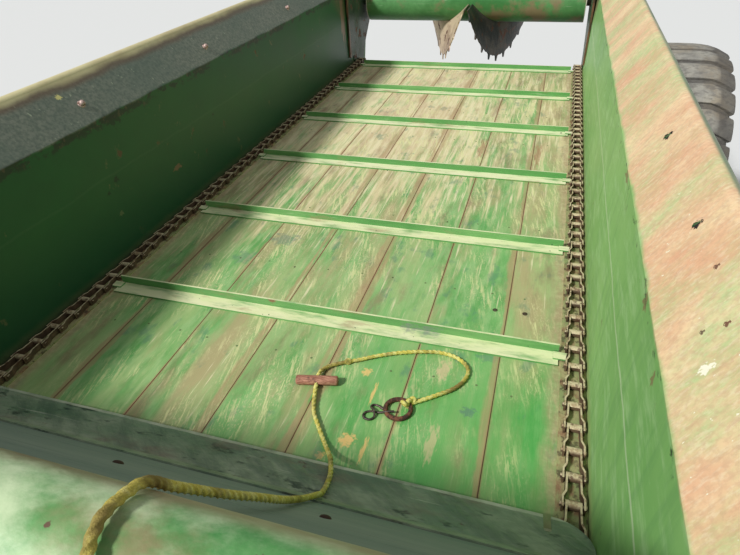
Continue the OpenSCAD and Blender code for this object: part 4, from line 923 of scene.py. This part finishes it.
# Wheels: wide second-hand tyres with low curved lugs, worn and grey, on pressed steel rims that
# were once yellow, each bolted to a cast hub.
axle_at = Vector((0, 1.376, 0.500))
track_half = 1.006
tyre_rubber, shader, spot = new_material("tyre_rubber", 0.85)
colour = cover((132, 129, 122), (164, 160, 148), patches(spot, 12, 0.5, 0.14))
colour = cover(colour, (148, 132, 106), patches(spot, 7, 0.35, 0.12), 0.6)
colour = cover(colour, (104, 100, 94), patches(spot, 30, 0.36, 0.1, (1, 2, 2)), 0.7)
place = axes(spot)
from_axle = {1: sums("SUBTRACT", place[1], axle_at.y), 2: sums("SUBTRACT", place[2], axle_at.z)}
from_axle = wire("CombineXYZ", from_axle).outputs[0]
radius = wire("VectorMath", {0: from_axle}, operation="LENGTH").outputs["Value"]
# Painted shade: darker in the grooves, where the carcass lies below the lugs
groove = ease(radius, 0.4945, 0.4900)
colour = cover(colour, (64, 60, 56), groove, 0.6)
join(shader, colour, height=patches(spot, 160, 0.45, 0.15), depth=0.0012)

tyre_outline = [
    (-0.118, 0.2048), (-0.137, 0.2090), (-0.148, 0.2200), (-0.160, 0.2550), (-0.1690, 0.3000),
    (-0.1700, 0.3350), (-0.1680, 0.3900), (-0.1620, 0.4380), (-0.1520, 0.4600), (-0.1300, 0.4740),
    (-0.0950, 0.4840), (-0.0500, 0.4875),
]
tyre_outline = tyre_outline + [(0, 0.488)] + [(-x, r) for x, r in reversed(tyre_outline)]
tyre_outline += [(0.10, 0.240), (0.13, 0.40), (0.10, 0.44), (-0.10, 0.44), (-0.13, 0.40), (-0.10, 0.240)]
lug_count = 28
tread_half, tread_radius, tread_drop, lug_bow = 0.163, 0.4875, 0.029, 0.052
lug_outline = [
    (0.006, -0.043), (-0.0075, -0.0415), (-0.0104, -0.034), (-0.0122, -0.012),
    (-0.0122, 0.012), (-0.0104, 0.034), (-0.0075, 0.0415), (0.006, 0.043),
]
for name, side in both_sides:
    shape = bmesh.new()
    made = [shape.verts.new((x, 0, r)) for x, r in tyre_outline]
    edges = [shape.edges.new((made[i - 1], made[i])) for i in range(len(made))]
    bmesh.ops.spin(
        shape, geom=made + edges, axis=(1, 0, 0), cent=(0, 0, 0), steps=120, angle=math.tau, use_merge=True
    )
    for k in range(lug_count):
        places = []
        for u in [i / 6 - 1 for i in range(13)]:
            x = tread_half * u
            bow = lug_bow * min(1, 2 * (1 - abs(u)))
            a = math.tau * k / lug_count + bow
            r = tread_radius - tread_drop * abs(u) ** 3.5
            tilt = -math.copysign(1, u) * 0.60 * abs(u) ** 3
            place = Matrix.Rotation(-a, 4, "X") @ Matrix.Translation((x, 0, r))
            places.append(place @ Matrix.Rotation(-tilt, 4, "Y") @ z_to_x)
        pull_along(shape, lug_outline, places)
    bmesh.ops.translate(shape, vec=axle_at + Vector((side * track_half, 0, 0)), verts=shape.verts)
    piece = finish_piece(name + "_tyre_lugs", shape, tyre_rubber, "wheel_" + name, smooth=35)
    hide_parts(name + "_tyre")

rim_yellow, shader, spot = new_material("rim_yellow", 0.5)
colour, rough, dents = painted(
    spot, ((198, 160, 52), (206, 184, 110), (122, 78, 50)), 6.0, 0.4, 0.2, 0.1, 0.3
)
join(shader, cover(colour, (120, 104, 78), patches(spot, 9, 0.4, 0.1), 0.6), rough, dents)
hub_grey, shader, spot = new_material("hub_grey", 0.65, 0.2)
colour = cover((84, 82, 76), (110, 86, 66), patches(spot, 18, 0.45, 0.1))
join(shader, colour, height=patches(spot, 200, 0.5, 0.25), depth=0.001)
nut_circle = 0.083
for name, side in both_sides:
    dress(rim_yellow, name + "_rim")
    dress(hub_grey, name + "_hub")
    shape = bmesh.new()
    for k in range(6):
        a = math.tau * (k + 0.5) / 6
        off = Vector((side * (track_half + 0.038), nut_circle * math.sin(a), nut_circle * math.cos(a)))
        hex_bolt(shape, axle_at + off, (side, 0, 0), 0.020, 0.012)
        tip = Matrix.Translation(axle_at + off + Vector((side * 0.019, 0, 0)))
        rod(shape, 10, 0.007, 0.012, tip @ z_to_x, 0.006)
    finish_piece(name + "_wheel_nuts", shape, bare_steel, "wheel_" + name, smooth=25)

# Jack: a screw jack with a side-wind handle that pivots on the right tongue rail. Its red paint
# has faded.
jack_red, shader, spot = new_material("jack_red", 0.5)
colour, rough, dents = painted(spot, ((140, 44, 34), (172, 92, 74), (90, 58, 44)), 8.0, 0.4, 0.12, 0.1, 0.3)
join(shader, colour, rough, dents)
dress(jack_red, "jack_tube")

# The floor it stands on is plain and pale. One large lamp stands high at the left front, and
# the pale sky fills in the shade.
floor_pale, shader, spot = new_material("floor_pale", 0.9)
shader["Base Color"].default_value = (0.72, 0.72, 0.70, 1)
shape = bmesh.new()
bmesh.ops.create_grid(shape, x_segments=1, y_segments=1, size=30)
ground = add_object("ground", as_mesh("ground", shape))
ground.data.materials.append(floor_pale)

lamp = add_object("key", bpy.data.lights.new("key", "SUN"))
lamp.data.energy = 3.4
lamp.data.angle = math.radians(8)
lamp.rotation_euler = Vector((-0.464, -0.57, 0.678)).to_track_quat("Z", "Y").to_euler()
world = bpy.data.worlds.new("sky")
bpy.context.scene.world = world
world.use_nodes = True
sky = world.node_tree.nodes["Background"].inputs
sky["Color"].default_value = (0.92, 0.96, 1.0, 1)
sky["Strength"].default_value = 0.38
bpy.context.scene.view_settings.view_transform = "Standard"
